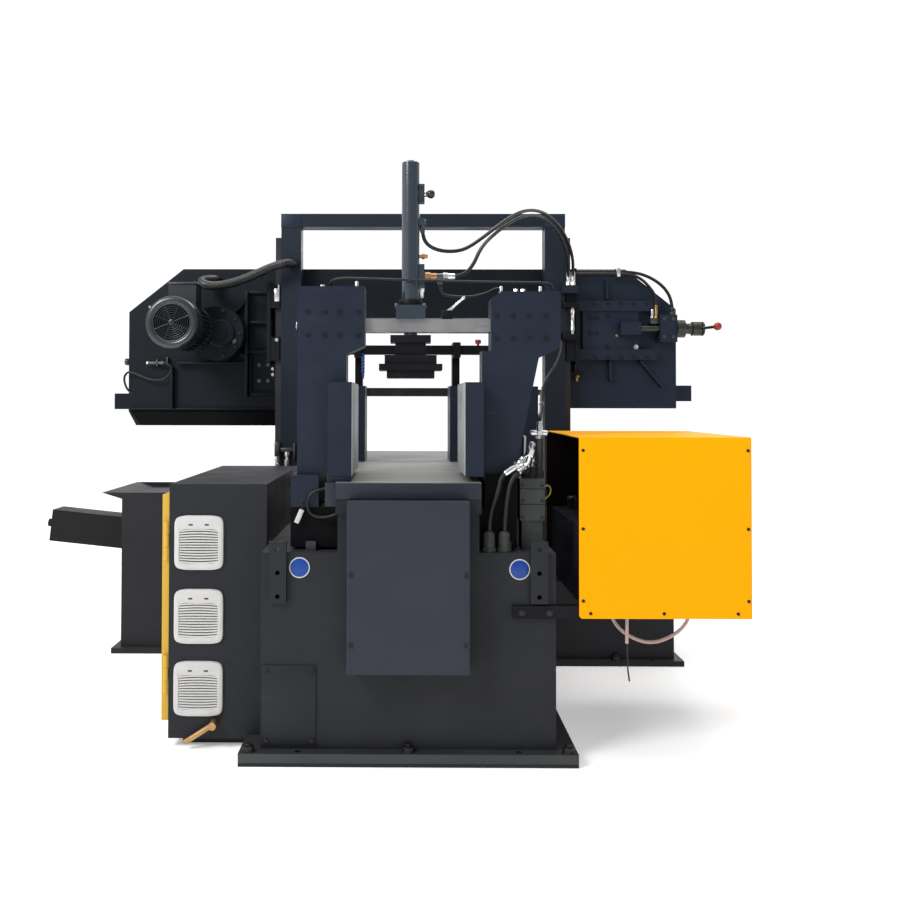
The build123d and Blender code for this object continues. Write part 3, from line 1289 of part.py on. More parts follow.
gib_left_x = tension_left_x - tension_travel
gib_right_x = tension_block_left_x - 5
with BuildPart() as tension_frame:
    for side, edge_z in ((-1, tension_low_z), (1, tension_high_z)):
        rail_edges = sorted((edge_z + side * slip, edge_z + side * gib_height))
        lip_edges = sorted((edge_z - side * gib_height, edge_z + side * gib_height))
        block((gib_left_x, bow_back_y - gib_depth, rail_edges[0]), (gib_right_x, bow_back_y, rail_edges[1]))
        block((gib_left_x, bow_back_y - gib_depth, lip_edges[0]),
              (gib_right_x, tension_front_y - slip, lip_edges[1]))
    block((tension_block_left_x, tension_screw_y - tension_nut_half, tension_screw_z - tension_block_height / 2),
          (tension_block_left_x + tension_block_width, bow_back_y, tension_screw_z + tension_block_height / 2))
    drum((tension_block_left_x, tension_screw_y, tension_screw_z), tension_screw_r + running_gap,
         tension_block_width, "X", Mode.SUBTRACT)
save(tension_frame, "tension_frame")

crank_x = tension_block_left_x + tension_block_width + 1
hub_x = crank_x + crank_flange + crank_neck
lever_x = hub_x + crank_hub / 2
with BuildPart() as tension_crank:
    drum((tension_right_x - tension_nut_length + 10, tension_screw_y, tension_screw_z), tension_screw_r,
         crank_x - tension_right_x + tension_nut_length - 10, "X")
    drum((crank_x, tension_screw_y, tension_screw_z), crank_flange_r, crank_flange, "X")
    drum((crank_x + crank_flange, tension_screw_y, tension_screw_z), crank_neck_r, crank_neck, "X")
    drum((hub_x, tension_screw_y, tension_screw_z), crank_hub_r, crank_hub, "X")
    chamfer(tension_crank.edges().group_by(Axis.X)[-1], length=9)
    with BuildSketch(Plane(origin=(lever_x, tension_screw_y, tension_screw_z), z_dir=(0.31, -0.9507, 0))):
        Circle(crank_lever_r)
    extrude(amount=crank_lever_length)
    ball_x = lever_x + 0.31 * crank_lever_length
    ball_y = tension_screw_y - 0.9507 * crank_lever_length
    with Locations((ball_x, ball_y, tension_screw_z)):
        Sphere(crank_ball_r)
save(tension_crank, "tension_crank")

# Blade guides: the bar with its fixed right arm, and the sliding left arm
guide_bar_y = beam_front_y - guide_bar_gap
guide_bar_rear_y = guide_bar_y + guide_bar_depth
guide_bar_z = wheel_z - guide_bar_down
guide_bar_top_z = guide_bar_z + guide_bar_height
guide_low_z = band_z - band_width / 2 + guide_arm_lift
guide_slot_half = band_t / 2 + guide_slot_gap
guide_slot_top_z = band_z + band_width / 2 + guide_slot_top_gap
with BuildPart() as guide_bar:
    block((guide_arm_x - guide_arm_width / 2, guide_bar_y - guide_arm_cheek, guide_bar_z - guide_arm_cheek),
          (guide_arm_x + guide_arm_width / 2, guide_leg_half, guide_bar_top_z + guide_arm_cheek))
    block((guide_arm_x - guide_arm_width / 2, -guide_leg_half, guide_low_z),
          (guide_arm_x + guide_arm_width / 2, guide_leg_half, guide_bar_z))
    block((guide_arm_x - guide_arm_width / 2, -guide_slot_half, guide_low_z),
          (guide_arm_x + guide_arm_width / 2, guide_slot_half, guide_slot_top_z), mode=Mode.SUBTRACT)
    block((guide_arm_x - guide_arm_width / 2, guide_bar_y - slip, guide_bar_z - slip),
          (guide_arm_x + guide_arm_width / 2, guide_bar_rear_y + slip, guide_bar_top_z + slip),
          mode=Mode.SUBTRACT)
    block((bow_throat_left_x, guide_bar_y, guide_bar_z),
          (bow_throat_right_x, guide_bar_rear_y, guide_bar_top_z))
save(guide_bar, "guide_bar")

with BuildPart() as left_guide_arm:
    block((-guide_arm_x - guide_arm_width / 2, guide_bar_y - guide_arm_cheek, guide_bar_z - guide_arm_cheek),
          (-guide_arm_x + guide_arm_width / 2, guide_leg_half, guide_bar_top_z + guide_arm_cheek))
    block((-guide_arm_x - guide_arm_width / 2, -guide_leg_half, guide_low_z),
          (-guide_arm_x + guide_arm_width / 2, guide_leg_half, guide_bar_z))
    block((-guide_arm_x - guide_arm_width / 2, guide_bar_y - slip, guide_bar_z - slip),
          (-guide_arm_x + guide_arm_width / 2, guide_bar_rear_y + slip, guide_bar_top_z + slip),
          mode=Mode.SUBTRACT)
    block((-guide_arm_x - guide_arm_width / 2, -guide_slot_half, guide_low_z),
          (-guide_arm_x + guide_arm_width / 2, guide_slot_half, guide_slot_top_z), mode=Mode.SUBTRACT)
save(left_guide_arm, "left_guide_arm")

# Main vise in front of the cut: a fixed jaw on a bracket that stands on the base, and a jaw pushed by a cylinder
main_jaw_rear_y = main_jaw_front_y + main_jaw_length
main_jaw_top_z = table_top_z + main_jaw_height
bracket_left_x = jaw_half_gap + main_jaw_t
bracket_right_x = column_right_x - column_size / 2 - fixed_bracket_column_gap
with BuildPart() as main_fixed_jaw:
    block((jaw_half_gap, main_jaw_front_y, table_top_z), (bracket_left_x, main_jaw_rear_y, main_jaw_top_z))
    block((bracket_left_x, base_front_y, base_top_z), (bracket_right_x, main_jaw_rear_y, main_jaw_top_z))
    block((bracket_left_x + fixed_bracket_wall, base_front_y + fixed_bracket_wall, base_top_z),
          (bracket_right_x - fixed_bracket_wall, main_jaw_rear_y, main_jaw_top_z - fixed_bracket_wall),
          mode=Mode.SUBTRACT)
save(main_fixed_jaw, "main_fixed_jaw")

leg_right_x = -jaw_half_gap - main_leg_inset
leg_left_x = leg_right_x - main_leg_t
barrel_right_x = -stand_half - main_bracket_t
barrel_length = main_stroke + main_cylinder_spare
barrel_left_x = barrel_right_x - barrel_length
with BuildPart() as main_moving_jaw:
    block((-jaw_half_gap - main_jaw_t, main_jaw_front_y, table_top_z + bolt_gap),
          (-jaw_half_gap, main_jaw_rear_y, main_jaw_top_z))
    block((leg_left_x, leg_y - main_leg_half, cylinder_z - main_rod_r),
          (leg_right_x, leg_y + main_leg_half, main_jaw_top_z))
    drum((barrel_left_x + 16, leg_y, cylinder_z), main_rod_r, leg_left_x - barrel_left_x - 16, "X")
save(main_moving_jaw, "main_moving_jaw")

with BuildPart() as main_vise_cylinder:
    drum((barrel_left_x, leg_y, cylinder_z), main_cylinder_r, barrel_length, "X")
    block((barrel_right_x, leg_y - main_bracket_half, cylinder_z - main_bracket_half),
          (-stand_half, leg_y + main_bracket_half, plate_bottom_z))
    drum((barrel_left_x + 10, leg_y, cylinder_z), main_rod_r + 6, barrel_length - main_gland - 10, "X",
         Mode.SUBTRACT)
    drum((barrel_left_x + 10, leg_y, cylinder_z), main_rod_r + running_gap, barrel_length + main_bracket_t, "X",
         Mode.SUBTRACT)
save(main_vise_cylinder, "main_vise_cylinder")

# Fasteners of the bases and covers
with BuildPart() as base_fasteners:
    bolt_places = [(-level_bolt_x, anchor_front_y, feed_flange), (0, anchor_front_y, feed_flange),
                   (level_bolt_x, anchor_front_y, feed_flange), (0, anchor_rear_y, feed_flange),
                   (level_bolt_x, anchor_rear_y, feed_flange),
                   (level_x, base_front_y - base_flange_out / 2, base_flange)]
    for bolt_x, bolt_y, plate_z in bolt_places:
        drum((bolt_x, bolt_y, 0), level_bolt_r, plate_z + level_bolt_stub, "Z")
        with BuildSketch(Plane.XY.offset(plate_z)):
            with Locations((bolt_x, bolt_y)):
                RegularPolygon(level_nut_flats / 2, 6, major_radius=False)
        extrude(amount=level_nut_height)
    for side in (-1, 1):
        for row_z in cover_bolt_rows:
            drum((side * (cover_half - screw_inset), cover_front_y - screw_head, row_z), screw_head_r,
                 screw_head, "Y")
    for screw_x in (panel_left_x + screw_inset, panel_right_x - screw_inset):
        for screw_z_at in (panel_bottom_z + screw_inset, panel_top_z - screw_inset):
            drum((screw_x, feed_front_y - panel_plate - screw_head, screw_z_at), screw_head_r, screw_head, "Y")
    for screw_x in (hood_left_x + screw_inset, hood_right_x - screw_inset):
        for screw_up in hood_screw_rows:
            drum((screw_x, hood_front_y - screw_head, hood_bottom_z + screw_up), hood_screw_r, screw_head, "Y")
    for screw_in in hood_screw_columns:
        drum((hood_left_x + screw_in, hood_front_y - screw_head, hood_bottom_z + hood_screw_low), hood_screw_r,
             screw_head, "Y")
    for screw_x in [feed_half - inset for inset in hood_bar_bolts]:
        drum((screw_x, feed_front_y - hood_bar_plate - screw_head, bar_low_z + hood_bar_height / 2),
             screw_head_r + 2, screw_head, "Y")
save(base_fasteners, "base_fasteners")


def bend_radii(points):
    """Bend radii that let the bends of a route run almost into each other."""
    radii = []
    for before, here, after in zip(points, points[1:], points[2:]):
        run_in = Vector(*here) - Vector(*before)
        run_out = Vector(*after) - Vector(*here)
        half_turn = math.radians(run_in.get_angle(run_out)) / 2
        radii.append(0.45 * min(run_in.length, run_out.length) / math.tan(half_turn))
    return radii


# Hoses and cables
upper_port_z = press_bottom_z + port_rows[1][0] - port_rows[1][1] / 2
lower_port_z = press_bottom_z + port_rows[2][0]
lower_port_x = press_x + press_r + port_out + port_rows[2][3]
hose_drop_x = press_x + press_r + port_out - 6
clamp_upper_x = column_right_x + 65
clamp_lower_x = column_right_x + 47
upper_hose_points = [(hose_drop_x, press_y, upper_port_z), (hose_drop_x, press_y, upper_port_z - 30),
                     (55, -1119, 1439), (88, -1116, 1424), (131, -1104, 1423), (172, -1070, 1437),
                     (232, -1012, 1486), (300, -924, 1549), (362, -830, 1597), (428, -705, 1625),
                     (490, -570, 1632), (548, -462, 1608), (590, -380, 1568), (616, -315, 1520),
                     (clamp_upper_x, clamp_y, clamp_top_z + 53), (clamp_upper_x, clamp_y, clamp_top_z)]
with BuildPart() as press_hose_upper:
    with BuildLine() as upper_path:
        FilletPolyline(*upper_hose_points, radius=bend_radii(upper_hose_points))
    with BuildSketch(Plane(origin=upper_path.line @ 0, z_dir=upper_path.line % 0)):
        Circle(press_hose_r)
    sweep(path=upper_path.line)
save(press_hose_upper, "press_hose_upper")

lower_hose_points = [(lower_port_x, press_y, lower_port_z), (lower_port_x + 42, press_y, lower_port_z),
                     (188, -1104, 1382), (212, -1074, 1438), (254, -984, 1490), (308, -902, 1540),
                     (370, -806, 1586), (432, -682, 1612), (488, -552, 1617), (540, -452, 1594),
                     (578, -376, 1555), (600, -312, 1505), (clamp_lower_x, clamp_y, clamp_top_z + 46),
                     (clamp_lower_x, clamp_y, clamp_top_z)]
with BuildPart() as press_hose_lower:
    with BuildLine() as lower_path:
        FilletPolyline(*lower_hose_points, radius=bend_radii(lower_hose_points))
    with BuildSketch(Plane(origin=lower_path.line @ 0, z_dir=lower_path.line % 0)):
        Circle(press_hose_r)
    sweep(path=lower_path.line)
save(press_hose_lower, "press_hose_lower")

conduit_z = bow_top_z - 44
conduit_points = [(-741, bow_back_y, conduit_z), (-741, bow_back_y - 50, conduit_z), (-790, -252, 1446),
                  (-758, -288, 1420), (-690, -302, 1420), (-600, -310, 1446), (-506, -320, 1490),
                  (column_left_x + 5, column_front_y - 62, gland_z),
                  (column_left_x + 5, column_front_y - 12, gland_z)]
with BuildPart() as bow_conduit:
    with BuildLine() as conduit_path:
        FilletPolyline(*conduit_points, radius=bend_radii(conduit_points))
    with BuildSketch(Plane(origin=conduit_path.line @ 0, z_dir=conduit_path.line % 0)):
        Circle(conduit_r)
    sweep(path=conduit_path.line)
save(bow_conduit, "bow_conduit")

fitting_end_x = valve_left_x + valve_fittings[-1][0]
fitting_end_z = valve_top_z + valve_fittings[-1][1]
cable_points = [(column_right_x, column_front_y - 12, cable_box_z), (column_right_x, -305, cable_box_z),
                (572, -345, 1190), (538, -405, 1118), (494, -490, 1070), (462, -600, 1033),
                (441, -720, 1001), (424, -840, 978), (408, -950, 960), (394, -1045, 953),
                (fitting_end_x, fitting_y, fitting_end_z + 62), (fitting_end_x, fitting_y, fitting_end_z)]
with BuildPart() as column_cable:
    with BuildLine() as cable_path:
        FilletPolyline(*cable_points, radius=bend_radii(cable_points))
    with BuildSketch(Plane(origin=cable_path.line @ 0, z_dir=cable_path.line % 0)):
        Circle(cable_r)
    sweep(path=cable_path.line)
save(column_cable, "column_cable")

tube_y = tank_front_y + 68
tank_tube_points = [(566, tube_y, tank_bottom_z), (566, tube_y, tank_bottom_z - 36),
                    (601, tube_y, tank_bottom_z - 85),
                    (680, tube_y, tank_bottom_z - 118), (759, tube_y, tank_bottom_z - 85),
                    (793, tube_y, tank_bottom_z - 36), (793, tube_y, tank_bottom_z)]
with BuildPart() as tank_tube:
    with BuildLine() as tank_tube_path:
        FilletPolyline(*tank_tube_points, radius=bend_radii(tank_tube_points))
    with BuildSketch(Plane(origin=tank_tube_path.line @ 0, z_dir=tank_tube_path.line % 0)):
        Circle(tank_tube_r)
    sweep(path=tank_tube_path.line)
save(tank_tube, "tank_tube")

block_top_z = tension_screw_z + tension_block_height / 2
clip_hose_y = bow_back_y - 20
hose_end_x = tension_block_left_x + 52
tension_hose_points = [(hose_clip_x, clip_hose_y, hose_clip_z), (hose_clip_x + 52, clip_hose_y, hose_clip_z),
                       (hose_clip_x + 114, clip_hose_y - 10, hose_clip_z - 20),
                       (hose_clip_x + 168, clip_hose_y - 24, hose_clip_z - 62),
                       (hose_end_x, tension_screw_y, hose_clip_z - 118), (hose_end_x, tension_screw_y, block_top_z)]
with BuildPart() as tension_hose:
    with BuildLine() as tension_hose_path:
        FilletPolyline(*tension_hose_points, radius=bend_radii(tension_hose_points))
    with BuildSketch(Plane(origin=tension_hose_path.line @ 0, z_dir=tension_hose_path.line % 0)):
        Circle(tension_hose_r)
    sweep(path=tension_hose_path.line)
save(tension_hose, "tension_hose")
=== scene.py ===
import math
import bmesh
import bpy
from mathutils import Matrix, Vector


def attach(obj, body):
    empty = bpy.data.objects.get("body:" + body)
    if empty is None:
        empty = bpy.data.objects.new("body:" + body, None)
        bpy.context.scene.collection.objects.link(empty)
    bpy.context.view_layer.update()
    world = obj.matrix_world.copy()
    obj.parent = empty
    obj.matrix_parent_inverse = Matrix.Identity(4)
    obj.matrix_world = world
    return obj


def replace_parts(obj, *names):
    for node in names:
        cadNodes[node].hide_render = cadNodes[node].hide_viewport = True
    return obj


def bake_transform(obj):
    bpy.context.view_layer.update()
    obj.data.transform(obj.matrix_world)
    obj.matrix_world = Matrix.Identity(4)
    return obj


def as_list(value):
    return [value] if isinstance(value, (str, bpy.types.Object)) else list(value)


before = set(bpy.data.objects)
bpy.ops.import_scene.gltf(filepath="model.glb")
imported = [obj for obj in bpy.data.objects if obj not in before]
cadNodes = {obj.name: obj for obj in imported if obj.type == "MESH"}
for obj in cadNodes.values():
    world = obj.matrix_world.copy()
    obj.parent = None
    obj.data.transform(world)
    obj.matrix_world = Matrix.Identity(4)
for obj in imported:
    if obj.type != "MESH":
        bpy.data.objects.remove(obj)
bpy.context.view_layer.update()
scene = bpy.context.scene
print("frame loaded")

# Camera: the place and lens were worked out from the corners of the machine
viewSettings = {"place": (-0.0115, -3.9186, 0.9832), "yaw": -0.0076, "pitch": -0.0206, "roll": 0.0018,
                "lens": 38.72, "shift": (0.0588, -0.075), "sensor": 36, "farthest": 100}


def makeCamera(settings):
    yaw, pitch, roll = settings["yaw"], settings["pitch"], settings["roll"]
    level = Vector((math.sin(yaw), math.cos(yaw), 0))
    side = Vector((math.cos(yaw), -math.sin(yaw), 0))
    ahead = level * math.cos(pitch) - Vector((0, 0, 1)) * math.sin(pitch)
    above = level * math.sin(pitch) + Vector((0, 0, 1)) * math.cos(pitch)
    right = side * math.cos(roll) + above * math.sin(roll)
    up = above * math.cos(roll) - side * math.sin(roll)
    lens = bpy.data.cameras.new("photoView")
    lens.sensor_width = settings["sensor"]
    lens.lens = settings["lens"]
    lens.shift_x, lens.shift_y = settings["shift"]
    lens.clip_end = settings["farthest"]
    camera = bpy.data.objects.new("photoView", lens)
    turn = Matrix((right, up, -ahead)).transposed().to_4x4()
    camera.matrix_world = Matrix.Translation(settings["place"]) @ turn
    scene.collection.objects.link(camera)
    scene.camera = camera


makeCamera(viewSettings)

# Studio: pale floor, soft boxes above, surround white behind and left and dimmer at the front right
studioSettings = {"surround": (0.46, 1.06), "brightWay": (-0.45, 0.85, 0.1), "fade": (-0.75, 0.4),
                  "floorTint": (0.96, 0.96, 0.96), "floorGlow": 0.27, "floorRough": 0.7, "floorShine": 0.2,
                  "floorHalf": 30, "floorLevel": -0.001, "aim": (0, -0.5, 0.8),
                  "boxes": (("keyBox", (-3.0, -3.8, 3.6), 1.6, 170), ("topBox", (0.2, -0.6, 4.6), 3.0, 95),
                            ("rearBox", (0.8, 4.2, 3.4), 2.6, 50))}


def makeStudio(settings):
    world = bpy.data.worlds.new("studioSurround")
    world.use_nodes = True
    tree = world.node_tree
    heading = tree.nodes.new("ShaderNodeTexCoord")
    along = tree.nodes.new("ShaderNodeVectorMath")
    along.operation = "DOT_PRODUCT"
    along.inputs[1].default_value = settings["brightWay"]
    shade = tree.nodes.new("ShaderNodeMapRange")
    shade.inputs["From Min"].default_value, shade.inputs["From Max"].default_value = settings["fade"]
    shade.inputs["To Min"].default_value, shade.inputs["To Max"].default_value = settings["surround"]
    tree.links.new(heading.outputs["Generated"], along.inputs[0])
    tree.links.new(along.outputs["Value"], shade.inputs["Value"])
    tree.nodes["Background"].inputs["Color"].default_value = (1, 1, 1, 1)
    tree.links.new(shade.outputs["Result"], tree.nodes["Background"].inputs["Strength"])
    scene.world = world
    for name, place, size, power in settings["boxes"]:
        lamp = bpy.data.lights.new(name, "AREA")
        lamp.shape = "SQUARE"
        lamp.size = size
        lamp.energy = power
        holder = bpy.data.objects.new(name, lamp)
        holder.location = place
        holder.rotation_euler = (Vector(settings["aim"]) - Vector(place)).to_track_quat("-Z", "Y").to_euler()
        scene.collection.objects.link(holder)
    sheet = bmesh.new()
    bmesh.ops.create_grid(sheet, x_segments=1, y_segments=1, size=settings["floorHalf"])
    data = bpy.data.meshes.new("studioFloor")
    sheet.to_mesh(data)
    sheet.free()
    floor = bpy.data.objects.new("studioFloor", data)
    floor.location = (0, 0, settings["floorLevel"])
    scene.collection.objects.link(floor)
    paper = bpy.data.materials.new("studioPaper")
    paper.use_nodes = True
    shader = paper.node_tree.nodes["Principled BSDF"]
    shader.inputs["Base Color"].default_value = (*settings["floorTint"], 1)
    shader.inputs["Roughness"].default_value = settings["floorRough"]
    shader.inputs["Specular IOR Level"].default_value = settings["floorShine"]
    shader.inputs["Emission Color"].default_value = (1, 1, 1, 1)
    shader.inputs["Emission Strength"].default_value = settings["floorGlow"]
    data.materials.append(paper)


makeStudio(studioSettings)
scene.view_settings.view_transform = "Standard"
print("camera and studio ready")

# A finish is a principled shader whose colour, roughness and bump vary with noise in the machine's own metres
# A zone is what lies beyond its edges, in another colour: painted shade, near black, over the hood's inside,
# and the cabinet hinges' own yellow paint
finishSettings = {"noiseRough": 0.6, "roughScale": 6, "scuffFade": 0.1, "zoneFade": 0.0002,
                  "bumpDepth": 0.001}


def makeFinish(name, look, settings):
    made = bpy.data.materials.new(name)
    made.use_nodes = True
    tree = made.node_tree
    shader = tree.nodes["Principled BSDF"]
    shader.inputs["Metallic"].default_value = look.get("metal", 0)
    shader.inputs["Specular IOR Level"].default_value = look.get("specular", 0.5)
    shader.inputs["Transmission Weight"].default_value = look.get("clear", 0)
    place = tree.nodes.new("ShaderNodeTexCoord")

    def noise(scale, detail, stretch=(1, 1, 1)):
        mapping = tree.nodes.new("ShaderNodeMapping")
        mapping.inputs["Scale"].default_value = stretch
        tree.links.new(place.outputs["Object"], mapping.inputs["Vector"])
        texture = tree.nodes.new("ShaderNodeTexNoise")
        texture.inputs["Scale"].default_value = scale
        texture.inputs["Detail"].default_value = detail
        texture.inputs["Roughness"].default_value = settings["noiseRough"]
        tree.links.new(mapping.outputs["Vector"], texture.inputs["Vector"])
        return texture.outputs["Fac"]

    def span(value, low, high, fromLow=0.3, fromHigh=0.7):
        ranger = tree.nodes.new("ShaderNodeMapRange")
        ranger.inputs["From Min"].default_value = fromLow
        ranger.inputs["From Max"].default_value = fromHigh
        ranger.inputs["To Min"].default_value = low
        ranger.inputs["To Max"].default_value = high
        tree.links.new(value, ranger.inputs["Value"])
        return ranger.outputs["Result"]

    def blendColour(factor, first, second):
        mixer = tree.nodes.new("ShaderNodeMix")
        mixer.data_type = "RGBA"
        tree.links.new(factor, mixer.inputs["Factor"])
        for socket, colour in ((mixer.inputs["A"], first), (mixer.inputs["B"], second)):
            if isinstance(colour, tuple):
                socket.default_value = (*colour, 1)
            else:
                tree.links.new(colour, socket)
        return mixer.outputs["Result"]

    stretch = look.get("stretch", (1, 1, 1))
    patches = noise(look["patch"], detail=4, stretch=look.get("patchStretch", (1, 1, 1)))
    colour = blendColour(span(patches, 0, 1), look["base"], look["second"])
    if "scuff" in look:
        worn = noise(look["scuffScale"], detail=6, stretch=look.get("scuffStretch", (1, 1, 4)))
        marks = span(worn, 0, look["scuffMost"], look["scuffFrom"], look["scuffFrom"] + settings["scuffFade"])
        colour = blendColour(marks, colour, look["scuff"])
    if "dust" in look:
        facing = tree.nodes.new("ShaderNodeNewGeometry")
        split = tree.nodes.new("ShaderNodeSeparateXYZ")
        tree.links.new(facing.outputs["Normal"], split.inputs["Vector"])
        upward = span(split.outputs["Z"], 0, look["dustMost"], 0.6, 1.0)
        colour = blendColour(upward, colour, look["dust"])
    # A zone colours by position: on the hood it is painted shade over the inside, on the cabinet the hinges'
    # yellow paint
    if "zone" in look:
        depth = tree.nodes.new("ShaderNodeSeparateXYZ")
        tree.links.new(place.outputs["Object"], depth.inputs["Vector"])
        within = None
        for axis, edge, sign in look["zoneEdges"]:
            fade = sign * settings["zoneFade"]
            beyond = span(depth.outputs[axis], 0, 1, edge - fade, edge + fade)
            if within is None:
                within = beyond
                continue
            both = tree.nodes.new("ShaderNodeMath")
            both.operation = "MULTIPLY"
            tree.links.new(within, both.inputs[0])
            tree.links.new(beyond, both.inputs[1])
            within = both.outputs["Value"]
        colour = blendColour(within, colour, look["zone"])
    tree.links.new(colour, shader.inputs["Base Color"])
    rough = span(noise(settings["roughScale"], detail=5, stretch=stretch), *look["rough"])
    tree.links.new(rough, shader.inputs["Roughness"])
    bump = tree.nodes.new("ShaderNodeBump")
    bump.inputs["Strength"].default_value = look["bump"]
    bump.inputs["Distance"].default_value = settings["bumpDepth"]
    tree.links.new(noise(look["grain"], detail=3, stretch=stretch), bump.inputs["Height"])
    tree.links.new(bump.outputs["Normal"], shader.inputs["Normal"])
    return made


